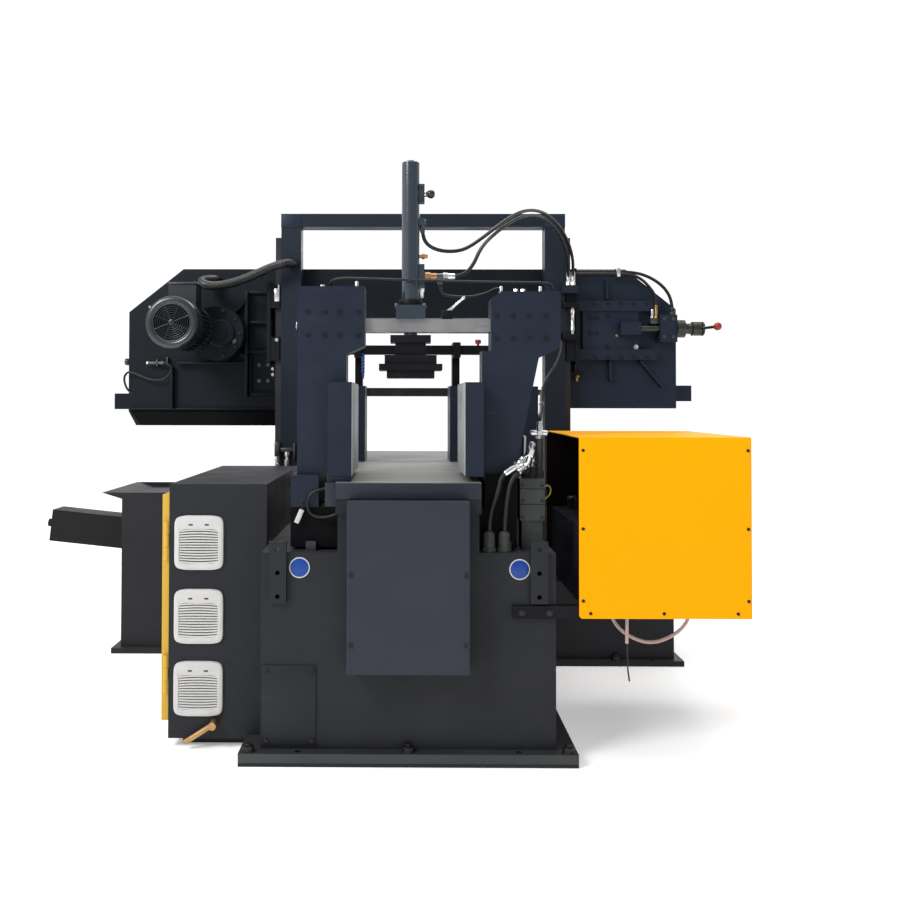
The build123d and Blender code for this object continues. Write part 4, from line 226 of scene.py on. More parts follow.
housingPaint = dict(patch=4.5, rough=(0.4, 0.56), grain=380, bump=0.1, dustMost=0.5, scuffScale=11,
                    scuffFrom=0.64, scuffMost=0.3)
finishLooks = {
    "framePaint": dict(
        base=(0.0105, 0.0115, 0.0145), second=(0.015, 0.016, 0.02), patch=3.5, rough=(0.42, 0.58),
        specular=0.2, grain=420, bump=0.1, dust=(0.045, 0.046, 0.049), dustMost=0.45,
        scuff=(0.04, 0.042, 0.046), scuffScale=9, scuffFrom=0.64, scuffMost=0.3),
    "troughPaint": dict(
        base=(0.0062, 0.006, 0.0062), second=(0.0095, 0.009, 0.009), patch=5, rough=(0.45, 0.62),
        specular=0.16, grain=380, bump=0.12, dust=(0.04, 0.039, 0.037), dustMost=0.4),
    "coverPaint": dict(
        base=(0.017, 0.02, 0.03), second=(0.022, 0.025, 0.036), patch=3.5, rough=(0.42, 0.58), specular=0.24,
        grain=420, bump=0.1, dust=(0.055, 0.056, 0.06), dustMost=0.45),
    "flangePaint": dict(
        base=(0.032, 0.035, 0.037), second=(0.048, 0.051, 0.051), patch=7, rough=(0.42, 0.6), specular=0.24,
        grain=300, bump=0.14, patchStretch=(0.4, 1, 1), scuff=(0.1, 0.1, 0.09), scuffScale=14, scuffFrom=0.62,
        scuffMost=0.4),
    "bowPaint": dict(
        housingPaint, base=(0.0072, 0.014, 0.029), second=(0.011, 0.019, 0.035), specular=0.2,
        dust=(0.03, 0.034, 0.042), scuff=(0.03, 0.035, 0.044)),
    "columnPaint": dict(
        housingPaint, base=(0.006, 0.0112, 0.0205), second=(0.0092, 0.015, 0.0255), specular=0.2,
        dust=(0.03, 0.034, 0.042), scuff=(0.03, 0.035, 0.044)),
    # driveShadePaint is a darker copy of the housing paint: painted shade on the drive housing, beam,
    # carriages, door and gearbox
    "driveShadePaint": dict(
        housingPaint, base=(0.003, 0.0056, 0.009), second=(0.0054, 0.0084, 0.0125), specular=0.14,
        dust=(0.03, 0.032, 0.037), scuff=(0.03, 0.033, 0.04)),
    "castPaint": dict(
        base=(0.0072, 0.0118, 0.0235), second=(0.0105, 0.016, 0.029), patch=6, rough=(0.38, 0.54),
        specular=0.2, grain=150, bump=0.2, dust=(0.04, 0.046, 0.058), dustMost=0.4,
        scuff=(0.045, 0.052, 0.064), scuffScale=14, scuffFrom=0.66, scuffMost=0.35),
    # paintedShadeIron is near-black colour that paints shade: on the feed saddle under the vise, the sheet
    # below the drive plate and the disc behind the cowl grille
    "paintedShadeIron": dict(
        base=(0.0018, 0.002, 0.0026), second=(0.0034, 0.0037, 0.0044), patch=7, rough=(0.5, 0.7),
        specular=0.06, grain=180, bump=0.2),
    "blackIron": dict(
        base=(0.0024, 0.0028, 0.0046), second=(0.0052, 0.0058, 0.0082), patch=9, rough=(0.38, 0.6),
        specular=0.14, grain=200, bump=0.2, scuff=(0.05, 0.05, 0.055), scuffScale=20, scuffFrom=0.65,
        scuffMost=0.5),
    "motorPaint": dict(
        base=(0.0065, 0.0085, 0.013), second=(0.0105, 0.0125, 0.018), patch=8, rough=(0.26, 0.42),
        specular=0.45, grain=240, bump=0.12, dust=(0.05, 0.05, 0.055), dustMost=0.4),
    "rimPaint": dict(
        base=(0.01, 0.012, 0.016), second=(0.017, 0.019, 0.023), patch=14, rough=(0.2, 0.34), specular=0.6,
        grain=240, bump=0.1),
    "grilleWire": dict(
        base=(0.014, 0.018, 0.026), second=(0.026, 0.03, 0.038), patch=40, rough=(0.24, 0.38), grain=300,
        bump=0.06, metal=0.5),
    "crankIron": dict(
        base=(0.022, 0.026, 0.023), second=(0.048, 0.054, 0.048), patch=45, rough=(0.24, 0.42), grain=300,
        bump=0.12, metal=0.6, scuff=(0.16, 0.17, 0.15), scuffScale=60, scuffFrom=0.62, scuffMost=0.6),
    "dullBrass": dict(
        base=(0.085, 0.06, 0.032), second=(0.14, 0.1, 0.055), patch=50, rough=(0.35, 0.55), grain=300,
        bump=0.12, metal=0.7),
    "pressPaint": dict(
        base=(0.008, 0.017, 0.03), second=(0.012, 0.023, 0.038), patch=10, rough=(0.12, 0.2), specular=0.95,
        grain=260, bump=0.05),
    "valveGrey": dict(
        base=(0.03, 0.034, 0.031), second=(0.042, 0.047, 0.043), patch=18, rough=(0.45, 0.62), specular=0.25,
        grain=260, bump=0.16, scuff=(0.1, 0.11, 0.1), scuffScale=30, scuffFrom=0.66, scuffMost=0.5),
    # yellowPaint's zone is painted shade: near black over the hood's inside, where shade falls
    "yellowPaint": dict(
        base=(0.84, 0.34, 0.0002), second=(0.88, 0.358, 0.0004), patch=2.5, rough=(0.4, 0.52), specular=0.05,
        grain=500, bump=0.06, dust=(0.8, 0.42, 0.03), dustMost=0.5, zone=(0.012, 0.009, 0.008),
        zoneEdges=(("X", 0.9362, -1), ("Y", -1.2632, 1), ("Y", -0.6568, -1), ("Z", 0.8872, -1))),
    "doorYellow": dict(
        base=(0.51, 0.31, 0.038), second=(0.55, 0.336, 0.048), patch=3, rough=(0.4, 0.52), specular=0.15,
        grain=450, bump=0.06),
    "tableSteel": dict(
        base=(0.115, 0.112, 0.107), second=(0.19, 0.185, 0.177), patch=9, rough=(0.45, 0.62), specular=0.12,
        grain=120, bump=0.1, stretch=(1, 9, 1), patchStretch=(0.6, 7, 1), scuff=(0.32, 0.31, 0.3),
        scuffScale=12, scuffFrom=0.6, scuffStretch=(0.5, 9, 1), scuffMost=0.5),
    "groundSteel": dict(
        base=(0.2, 0.2, 0.21), second=(0.3, 0.3, 0.31), patch=10, rough=(0.32, 0.5), grain=120, bump=0.1,
        metal=0.7, stretch=(14, 1, 1), scuff=(0.14, 0.12, 0.1), scuffScale=16, scuffFrom=0.62, scuffMost=0.6),
    # railShadeSteel is rail steel darkened near black: painted shade for the linear rails, which lie in
    # shadow
    "railShadeSteel": dict(
        base=(0.02, 0.021, 0.024), second=(0.034, 0.035, 0.038), patch=12, rough=(0.3, 0.46), grain=200,
        bump=0.08, metal=0.5),
    "faceSteel": dict(
        base=(0.31, 0.33, 0.33), second=(0.41, 0.43, 0.43), patch=8, rough=(0.4, 0.58), specular=0.3,
        grain=140, bump=0.12, metal=0.2, stretch=(1, 1, 10), scuff=(0.1, 0.09, 0.08), scuffScale=18,
        scuffFrom=0.63, scuffMost=0.6),
    "brightSteel": dict(
        base=(0.62, 0.63, 0.64), second=(0.74, 0.74, 0.75), patch=20, rough=(0.16, 0.32), grain=300,
        bump=0.08, metal=1.0),
    "darkSteel": dict(
        base=(0.06, 0.062, 0.062), second=(0.1, 0.102, 0.1), patch=26, rough=(0.26, 0.44), grain=300,
        bump=0.1, metal=0.8),
    "wheelIron": dict(
        base=(0.1, 0.1, 0.11), second=(0.17, 0.17, 0.18), patch=12, rough=(0.35, 0.55), grain=220, bump=0.15,
        metal=0.8),
    "rodChrome": dict(
        base=(0.66, 0.67, 0.69), second=(0.72, 0.73, 0.74), patch=15, rough=(0.06, 0.14), grain=400,
        bump=0.03, metal=1.0),
    "bandSteel": dict(
        base=(0.02, 0.02, 0.022), second=(0.036, 0.036, 0.038), patch=14, rough=(0.28, 0.45), grain=260,
        bump=0.08, metal=0.6, stretch=(0.3, 1, 6)),
    "ventPlastic": dict(
        base=(0.46, 0.455, 0.445), second=(0.51, 0.505, 0.495), patch=14, rough=(0.42, 0.55), specular=0.3,
        grain=500, bump=0.05, scuff=(0.4, 0.39, 0.36), scuffScale=30, scuffFrom=0.62, scuffMost=0.3),
    # ventShade is near-black colour that paints the shade behind the vent louvres and in the slots
    "ventShade": dict(
        base=(0.035, 0.034, 0.032), second=(0.06, 0.058, 0.054), patch=40, rough=(0.6, 0.8), specular=0.1,
        grain=300, bump=0.08),
    "switchGrey": dict(
        base=(0.42, 0.43, 0.44), second=(0.5, 0.51, 0.52), patch=9, rough=(0.4, 0.55), grain=350, bump=0.08),
    "tapBrass": dict(
        base=(0.36, 0.2, 0.085), second=(0.5, 0.3, 0.14), patch=40, rough=(0.28, 0.48), grain=300, bump=0.12,
        metal=0.9, scuff=(0.14, 0.08, 0.04), scuffScale=60, scuffFrom=0.58, scuffMost=0.7),
    "hoseRubber": dict(
        base=(0.0045, 0.0045, 0.005), second=(0.008, 0.0078, 0.008), patch=30, rough=(0.36, 0.52),
        specular=0.35, grain=900, bump=0.12),
    "conduitPlastic": dict(
        base=(0.007, 0.007, 0.0075), second=(0.012, 0.012, 0.012), patch=25, rough=(0.26, 0.38), specular=0.5,
        grain=600, bump=0.06),
    "clearTube": dict(
        base=(0.62, 0.42, 0.36), second=(0.72, 0.52, 0.46), patch=30, rough=(0.12, 0.25), grain=300,
        bump=0.04, clear=0.45),
    "blackPlastic": dict(
        base=(0.006, 0.006, 0.0066), second=(0.0105, 0.0105, 0.011), patch=30, rough=(0.22, 0.38), grain=500,
        bump=0.06),
    "blackScrew": dict(
        base=(0.005, 0.005, 0.0056), second=(0.012, 0.012, 0.013), patch=60, rough=(0.3, 0.5), grain=400,
        bump=0.1, metal=0.4),
    "blueSign": dict(
        base=(0.0055, 0.04, 0.235), second=(0.007, 0.047, 0.265), patch=40, rough=(0.25, 0.35), specular=0.3,
        grain=300, bump=0.03),
    "blueHose": dict(
        base=(0.004, 0.04, 0.26), second=(0.007, 0.055, 0.32), patch=50, rough=(0.3, 0.4), grain=300,
        bump=0.05),
    "earthWire": dict(
        base=(0.22, 0.24, 0.02), second=(0.36, 0.36, 0.05), patch=160, rough=(0.35, 0.5), grain=300,
        bump=0.05),
    "whitePlastic": dict(
        base=(0.45, 0.45, 0.45), second=(0.51, 0.51, 0.51), patch=40, rough=(0.35, 0.5), grain=300,
        bump=0.05),
    "redCap": dict(
        base=(0.22, 0.01, 0.01), second=(0.3, 0.02, 0.016), patch=40, rough=(0.25, 0.4), grain=300,
        bump=0.05),
}
finishLooks["cabinetPaint"] = {**finishLooks["framePaint"], "zone": (0.51, 0.31, 0.038),
                               "zoneEdges": (("X", -0.6853, -1),)}
finishes = {name: makeFinish(name, look, finishSettings) for name, look in finishLooks.items()}
print("finishes ready")

# Finish and edge rounding of the CAD nodes
nodeFinishes = {
    "framePaint": ("feed_base", "table_stands", "saw_base"),
    "cabinetPaint": ("cabinet",),
    "troughPaint": ("chip_trough",),
    "coverPaint": ("feed_covers",),
    "columnPaint": ("columns", "tie_beam"),
    "bowPaint": ("idler_housing", "idler_door", "tension_frame", "tension_slide"),
    # The drive side takes the darker copy of the housing paint, as painted shade
    "driveShadePaint": ("drive_housing", "bow_beam", "bow_carriages", "drive_door", "gearbox"),
    "castPaint": ("left_arm", "right_arm", "left_jaw", "right_jaw", "main_fixed_jaw", "main_moving_jaw"),
    # The feed saddle is near black: painted shade under the vise
    "paintedShadeIron": ("feed_saddle",),
    "blackIron": ("guide_bar", "left_guide_arm", "press_shoe", "base_fasteners", "auger",
                  "hydraulic_brackets"),
    "motorPaint": ("drive_motor", "feed_motor", "hydraulic_unit", "lift_cylinders", "main_vise_cylinder"),
    "pressPaint": ("press_cylinder",),
    "valveGrey": ("valve_stack",),
    "yellowPaint": ("hood",),
    "doorYellow": ("cabinet_door",),
    "tableSteel": ("work_table",),
    "groundSteel": ("cross_bar", "feed_screw"),
    # The linear rails are darkened as painted shade
    "railShadeSteel": ("linear_rails",),
    "brightSteel": ("motor_rotor", "door_latch"),
    "crankIron": ("tension_crank",),
    "wheelIron": ("drive_wheel", "idler_wheel"),
    "rodChrome": ("press_rod", "lift_rods"),
    "bandSteel": ("saw_band",),
    "ventPlastic": ("cabinet_vents",),
    "switchGrey": ("electrical_plate",),
    "tapBrass": ("drain_tap",),
    "hoseRubber": ("press_hose_upper", "press_hose_lower", "column_cable", "tension_hose"),
    "conduitPlastic": ("bow_conduit",),
    "clearTube": ("tank_tube",),
}
edgeRounding = {
    0.0015: ("cross_bar", "press_shoe", "tension_slide", "tension_frame", "valve_stack", "guide_bar",
             "left_guide_arm", "hydraulic_brackets", "bow_carriages"),
    0.002: ("hood", "work_table", "left_jaw", "right_jaw", "drive_housing", "idler_housing", "bow_beam",
            "main_fixed_jaw", "main_moving_jaw", "table_stands", "feed_saddle", "chip_trough"),
    0.003: ("feed_base", "feed_covers", "cabinet_door", "left_arm", "right_arm", "tie_beam", "saw_base",
            "gearbox"),
    0.004: ("cabinet",),
    0.006: ("columns",),
}
for finishName, nodeNames in nodeFinishes.items():
    for nodeName in nodeNames:
        node = cadNodes[nodeName]
        node.data.materials.clear()
        node.data.materials.append(finishes[finishName])
for radius, nodeNames in edgeRounding.items():
    for nodeName in nodeNames:
        rounding = cadNodes[nodeName].modifiers.new("edgeRounding", "BEVEL")
        rounding.width = radius
        rounding.segments = 3
        rounding.limit_method = "ANGLE"
        rounding.angle_limit = math.radians(50)
        rounding.harden_normals = False
print("CAD nodes finished")


# Mesh helpers: each adds one form to a bmesh, in the machine's metres
def axisTurn(axis):
    return Vector(axis).normalized().to_track_quat("Z", "Y").to_matrix().to_4x4()


def slab(form, low, high, edge=0.001, steps=2, turn=None):
    low, high = Vector(low), Vector(high)
    made = bmesh.ops.create_cube(form, size=1)["verts"]
    size = high - low
    bmesh.ops.scale(form, vec=size, verts=made)
    edges = list({edgeLine for vert in made for edgeLine in vert.link_edges})
    rounded = bmesh.ops.bevel(form, geom=edges, offset=min(edge, 0.45 * min(size)), segments=steps,
                              profile=0.5, affect="EDGES")
    verts = list({vert for face in rounded["faces"] for vert in face.verts}
                 | {vert for vert in made if vert.is_valid})
    place = Matrix.Translation((low + high) / 2) @ (turn or Matrix.Identity(4))
    bmesh.ops.transform(form, matrix=place, verts=verts)


# A profile holds (along, radius) in millimetres, and a third number makes that ring a hexagon
perMetre = 1000


def turned(form, place, axis, profile, sides=24):
    turn = Matrix.Translation(place) @ axisTurn(axis)
    rings = []
    for entry in profile:
        along, radius = entry[0] / perMetre, entry[1] / perMetre
        if radius < 1e-6:
            rings.append([form.verts.new(turn @ Vector((0, 0, along)))])
            continue
        ring = []
        for step in range(sides):
            angle = 2 * math.pi * step / sides
            reach = radius
            if len(entry) > 2:
                reach = radius / math.cos((angle + math.pi / 6) % (math.pi / 3) - math.pi / 6)
            spot = Vector((reach * math.cos(angle), reach * math.sin(angle), along))
            ring.append(form.verts.new(turn @ spot))
        rings.append(ring)
    for first, second in zip(rings, rings[1:]):
        for step in range(sides):
            after = (step + 1) % sides
            corners = [first[step % len(first)], first[after % len(first)],
                       second[after % len(second)], second[step % len(second)]]
            corners = [corner for index, corner in enumerate(corners) if corner not in corners[:index]]
            if len(corners) > 2:
                form.faces.new(corners)
    for ring, flip in ((rings[0], True), (rings[-1], False)):
        if len(ring) > 1:
            form.faces.new(ring[::-1] if flip else ring)


def socketScrew(form, place, axis, radius, height):
    edge = 0.12 * radius
    turned(form, place, axis, ((0, radius), (height - edge, radius), (height, radius - edge),
                               (height, 0.56 * radius, 6), (0.45 * height, 0.5 * radius, 6),
                               (0.45 * height, 0)), 24)


def hexBolt(form, place, axis, flats, height):
    base, half, washer = 0.14 * height, flats / 2, 0.62 * flats
    turned(form, place, axis, ((0, washer * 1.08), (base, washer * 1.05), (base, 0)), 24)
    turned(form, place, axis, ((base, half, 6), (base + 0.84 * height, half, 6),
                               (base + height, 0.86 * half, 6), (base + height, 0.4 * half),
                               (base + 0.94 * height, 0)), 24)


def tubeAlong(form, points, radius, sides=16):
    heading = (points[1] - points[0]).normalized()
    across = heading.orthogonal().normalized()
    rings = []
    for index, point in enumerate(points):
        before, after = points[max(index - 1, 0)], points[min(index + 1, len(points) - 1)]
        ahead = (after - before).normalized()
        across = (across - ahead * across.dot(ahead)).normalized()
        upward = ahead.cross(across)
        reach = radius(index) if callable(radius) else radius
        rings.append([form.verts.new(point + reach * (across * math.cos(turn) + upward * math.sin(turn)))
                      for turn in (2 * math.pi * step / sides for step in range(sides))])
    for first, second in zip(rings, rings[1:]):
        for step in range(sides):
            after = (step + 1) % sides
            form.faces.new((first[step], first[after], second[after], second[step]))
    form.faces.new(rings[0][::-1])
    form.faces.new(rings[-1])


def sheetPlate(form, outline, depth, turn, edge=0.0008):
    verts = [form.verts.new((x, y, 0)) for x, y in outline]
    face = form.faces.new(verts)
    grown = bmesh.ops.extrude_face_region(form, geom=[face])
    lifted = [item for item in grown["geom"] if isinstance(item, bmesh.types.BMVert)]
    bmesh.ops.translate(form, vec=(0, 0, depth), verts=lifted)
    every = verts + lifted
    edges = list({line for vert in every for line in vert.link_edges})
    rounded = bmesh.ops.bevel(form, geom=edges, offset=edge, segments=2, profile=0.5, affect="EDGES")
    every = list({vert for part in rounded["faces"] for vert in part.verts}
                 | {vert for vert in every if vert.is_valid})
    bmesh.ops.transform(form, matrix=turn, verts=every)


def addPiece(name, form, finish, body, sharp=38):
    bmesh.ops.recalc_face_normals(form, faces=form.faces)
    data = bpy.data.meshes.new(name)
    form.to_mesh(data)
    form.free()
    data.shade_smooth()
    data.set_sharp_from_angle(angle=math.radians(sharp))
    data.materials.append(finishes[finish])
    piece = bpy.data.objects.new(name, data)
    scene.collection.objects.link(piece)
    if body:
        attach(piece, body)
    return piece


def splineLine(name, points):
    line = bpy.data.curves.new(name, "CURVE")
    line.dimensions = "3D"
    spline = line.splines.new("NURBS")
    spline.points.add(len(points) - 1)
    for place, point in zip(spline.points, points):
        place.co = (*point, 1)
    spline.order_u = 3
    spline.use_endpoint_u = True
    spline.resolution_u = 10
    return line


def linePoints(name, points):
    line = splineLine(name, points)
    holder = bpy.data.objects.new(name, line)
    scene.collection.objects.link(holder)
    run = bpy.data.meshes.new_from_object(holder)
    places = [vert.co.copy() for vert in run.vertices]
    bpy.data.objects.remove(holder)
    bpy.data.meshes.remove(run)
    bpy.data.curves.remove(line)
    return places


def lineLength(places):
    return sum((second - first).length for first, second in zip(places, places[1:]))


def evenPlaces(places, pitch):
    evened, along, due = [], 0, 0
    for first, second in zip(places, places[1:]):
        run = (second - first).length
        while due <= along + run:
            evened.append(first.lerp(second, (due - along) / run))
            due += pitch
        along += run
    return evened


print("helpers ready")

# Cords: the routes are the control points of the splines, in metres, and those with a node are the CAD's own
cordSettings = {
    "pressHoseUpper": dict(
        node="press_hose_upper", radius=0.0055, finish="hoseRubber", between=("feed_carriage", "base"),
        stiffness="stiff", lay="taut",
        route=((0.04, -1.12, 1.496), (0.04, -1.12, 1.466), (0.055, -1.119, 1.439), (0.088, -1.116, 1.424),
               (0.131, -1.104, 1.423), (0.172, -1.07, 1.437), (0.232, -1.012, 1.486), (0.3, -0.924, 1.549),
               (0.362, -0.83, 1.597), (0.428, -0.705, 1.625), (0.49, -0.57, 1.632), (0.548, -0.462, 1.608),
               (0.59, -0.38, 1.568), (0.616, -0.315, 1.52), (0.624, -0.27, 1.47785),
               (0.624, -0.27, 1.42485))),
    "pressHoseLower": dict(
        node="press_hose_lower", radius=0.0055, finish="hoseRubber", between=("feed_carriage", "base"),
        stiffness="stiff", lay="taut",
        route=((0.114, -1.12, 1.348), (0.156, -1.12, 1.348), (0.188, -1.104, 1.382), (0.212, -1.074, 1.438),
               (0.254, -0.984, 1.49), (0.308, -0.902, 1.54), (0.37, -0.806, 1.586), (0.432, -0.682, 1.612),
               (0.488, -0.552, 1.617), (0.54, -0.452, 1.594), (0.578, -0.376, 1.555), (0.6, -0.312, 1.505),
               (0.606, -0.27, 1.47085), (0.606, -0.27, 1.42485))),
    "bowConduit": dict(
        node="bow_conduit", radius=0.017, finish="conduitPlastic", between=("bow", "base"), stiffness="stiff",
        lay="loose",
        route=((-0.741, -0.165, 1.45685), (-0.741, -0.215, 1.45685), (-0.79, -0.252, 1.446),
               (-0.758, -0.288, 1.42), (-0.69, -0.302, 1.42), (-0.6, -0.31, 1.446), (-0.506, -0.32, 1.49),
               (-0.438, -0.312, 1.50785), (-0.438, -0.262, 1.50785))),
    "columnCable": dict(
        node="column_cable", radius=0.006, finish="hoseRubber", body="base", stiffness="medium",
        lay="hanging",
        route=((0.559, -0.262, 1.23985), (0.559, -0.305, 1.23985), (0.572, -0.345, 1.19),
               (0.538, -0.405, 1.118), (0.494, -0.49, 1.07), (0.462, -0.6, 1.033), (0.441, -0.72, 1.001),
               (0.424, -0.84, 0.978), (0.408, -0.95, 0.96), (0.394, -1.045, 0.953), (0.379, -1.12, 0.942),
               (0.379, -1.12, 0.88))),
    "tankTube": dict(
        node="tank_tube", radius=0.005, finish="clearTube", body="base", stiffness="medium", lay="hanging",
        route=((0.566, -1.183, 0.422), (0.566, -1.183, 0.386), (0.601, -1.183, 0.337), (0.68, -1.183, 0.304),
               (0.759, -1.183, 0.337), (0.793, -1.183, 0.386), (0.793, -1.183, 0.422))),
    "drainWire": dict(
        radius=0.0022, finish="hoseRubber", body="base", stiffness="medium", lay="hanging", farEnd="bare",
        route=((0.601, -1.239, 0.324), (0.6015, -1.239, 0.295), (0.603, -1.239, 0.27),
               (0.6035, -1.239, 0.245), (0.608, -1.239, 0.219))),
    "tensionHose": dict(
        node="tension_hose", radius=0.006, finish="hoseRubber", body="bow", stiffness="stiff", lay="loose",
        route=((0.817, -0.185, 1.48885), (0.869, -0.185, 1.48885), (0.931, -0.195, 1.46885),
               (0.985, -0.209, 1.42685), (1.014, -0.212, 1.37085), (1.014, -0.212, 1.31885))),
}
conduitSettings = {"pitch": 0.0019, "groove": 0.9, "sides": 28}


def conduitRadius(radius, groove):
    return lambda index: radius * (1 if index % 4 in (0, 1) else groove)


def makeCord(name, settings):
    route = [Vector(point) for point in settings["route"]]
    places = linePoints(name + "Line", route)
    form = bmesh.new()
    if settings["finish"] == "conduitPlastic":
        ridged = conduitRadius(settings["radius"], conduitSettings["groove"])
        tubeAlong(form, evenPlaces(places, conduitSettings["pitch"]), ridged, conduitSettings["sides"])
    else:
        tubeAlong(form, places, settings["radius"], 20)
    piece = addPiece(name, form, settings["finish"], settings.get("body"), 60)
    if "between" in settings:
        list(settings["between"])
        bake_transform(piece)
    if "node" in settings:
        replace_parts(piece, settings["node"])
    length = lineLength(places)
    settings.get("farEnd", "object")
    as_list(settings.get("withPieces", ()))
    print("cord", name, round(length, 3))


for cordName, cordLook in cordSettings.items():
    makeCord(cordName, cordLook)
print("cords ready")

# Axes of what is turned
toFront = (0, -1, 0)
toTop = (0, 0, 1)
toFloor = (0, 0, -1)
toRight = (1, 0, 0)
toLeft = (-1, 0, 0)


# Small shared makers: several slabs, or several fasteners with their sizes in millimetres, as one piece
def slabPiece(name, finish, body, boxes, edge=0.0012):
    form = bmesh.new()
    for low, high in boxes:
        slab(form, low, high, edge)
    addPiece(name, form, finish, body)


def screwPiece(name, finish, body, axis, places, radius, height):
    form = bmesh.new()
    for place in places:
        socketScrew(form, place, axis, radius, height)
    addPiece(name, form, finish, body)


def boltPiece(name, finish, body, axis, places, flats, height):
    form = bmesh.new()
    for place in places:
        hexBolt(form, place, axis, flats, height)
    addPiece(name, form, finish, body)


def turnedPiece(name, finish, body, axis, profile, places, sides=28):
    form = bmesh.new()
    for place in places:
        turned(form, place, axis, profile, sides)
    addPiece(name, form, finish, body)


# Vent grilles: a pillowed frame with arched edges and curved louvres, with near-black sheets behind and dark
# patches at the slots that paint the shade inside
ventSettings = {"centreX": -0.5985, "rows": (0.166, 0.371, 0.581), "faceY": -1.14, "half": (0.0705, 0.073),
                "bulge": 0.006, "power": 9, "fieldBulge": 0.003, "fieldPower": 12, "field": (0.0555, 0.047),
                "fieldDrop": 0.01, "louvres": 13, "louvreBow": 0.0035, "slotX": (-0.023, 0.023),
                "slotHalf": 0.006, "slotRise": (0.049, 0.054),
                "louvreForm": ((-0.0086, -0.36), (-0.0093, -0.2), (-0.0074, 0.26), (-0.004, 0.3),
                               (-0.004, -0.36)),
                "frameForm": ((0, 0), (0, -0.0055), (0.05, -0.0085), (0.2, -0.01), (0.92, -0.0098),
                              (1, -0.0086), (1, -0.0015))}


def ventLoop(half, bulge, power, count=96):
    loop = []
    for step in range(count):
        angle = 2 * math.pi * (step + 0.5) / count
        x = half[0] * math.copysign(abs(math.cos(angle)) ** (2 / power), math.cos(angle))
        z = half[1] * math.copysign(abs(math.sin(angle)) ** (2 / power), math.sin(angle))
        z += math.copysign(bulge * (1 - (x / half[0]) ** 2), z) * min(1, abs(z) / half[1])
        loop.append((x, z))
    return loop


def makeVents(settings):
    centreX, faceY = settings["centreX"], settings["faceY"]
    drop, louvres = settings["fieldDrop"], settings["louvres"]
    outer = ventLoop(settings["half"], settings["bulge"], settings["power"])
    inner = [(x, z - drop) for x, z in ventLoop(settings["field"], settings["fieldBulge"],
                                                settings["fieldPower"])]
    frameForm, shadeForm = bmesh.new(), bmesh.new()
    for rowZ in settings["rows"]:
        rings = []
        for share, lift in settings["frameForm"]:
            rings.append([frameForm.verts.new((centreX + x0 + (x1 - x0) * share, faceY + lift,
                                               rowZ + z0 + (z1 - z0) * share))
                          for (x0, z0), (x1, z1) in zip(outer, inner)])
        for first, second in zip(rings, rings[1:]):
            for step in range(len(first)):
                after = (step + 1) % len(first)
                frameForm.faces.new((first[step], first[after], second[after], second[step]))
        halfX, halfZ = settings["field"]
        pitch = 2 * halfZ / louvres
        for louvre in range(louvres):
            middle = rowZ - drop - halfZ + pitch * (louvre + 0.5)
            bow = settings["louvreBow"] * (2 * louvre / (louvres - 1) - 1)
            sections = []
            for step in range(13):
                x = halfX * (step / 6 - 1)
                z = middle + bow * (1 - (x / halfX) ** 2)
                sections.append([frameForm.verts.new((centreX + x, faceY + y, z + up * pitch))
                                 for y, up in settings["louvreForm"]])
            for first, second in zip(sections, sections[1:]):
                for corner in range(5):
                    after = (corner + 1) % 5
                    frameForm.faces.new((first[corner], first[after], second[after], second[corner]))
        # Near-black sheets behind the louvres and patches at the slots paint the shade inside the vents
        backZ = rowZ - drop
        slab(shadeForm, (centreX - halfX - 0.004, faceY - 0.003, backZ - halfZ - 0.005),
             (centreX + halfX + 0.004, faceY, backZ + halfZ + 0.005), 0.0005)
        low, high = settings["slotRise"]
        for slotX in settings["slotX"]:
            x, half = centreX + slotX, settings["slotHalf"]
            slab(shadeForm, (x - half, faceY - 0.0103, rowZ + low),
                 (x + half, faceY - 0.008, rowZ + high), 0.0006)
    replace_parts(addPiece("ventFrames", frameForm, "ventPlastic", "base"), "cabinet_vents")
    addPiece("ventShadeSheets", shadeForm, "ventShade", "base")


makeVents(ventSettings)

# Round blue signs with a pale rim, left without a picture
signSettings = {"places": ((-0.2991, 0.5288), (0.3056, 0.5255)), "faceY": -1.25, "radius": 0.0285}


def makeSigns(settings):
    places = [(x, settings["faceY"], z) for x, z in settings["places"]]
    size = settings["radius"] * perMetre
    turnedPiece("signDiscs", "blueSign", "base", toFront,
                ((0, size - 3), (0.9, size - 3), (1.1, size - 3.4), (1.1, 0)), places, 48)
    turnedPiece("signRims", "whitePlastic", "base", toFront,
                ((0, size), (0.7, size), (0.9, size - 0.6), (0.9, size - 3.2), (0, size - 3.2)),
                places, 48)


makeSigns(signSettings)

# Screws, studs and nuts in place of the plain CAD fasteners
fastenerSettings = {"cover": [(side * 0.154, -1.325, z) for side in (-1, 1) for z in (0.335, 0.522)],
                    "panel": [(x, -1.255, z) for x in (-0.389, -0.264) for z in (0.058, 0.251)],
                    "hood": [(x, -1.265, z) for x in (0.477, 0.927) for z in (0.443, 0.639, 0.853)]
                    + [(x, -1.265, 0.409) for x in (0.497, 0.697, 0.898)],
                    "bar": [(x, -1.262, 0.4105) for x in (0.31, 0.385)],
                    "studs": ((-0.435, -1.27, 0.035), (0, -1.27, 0.035), (0.435, -1.27, 0.035),
                              (0, -0.33, 0.035), (0.435, -0.33, 0.035), (0.783, -0.265, 0.02))}


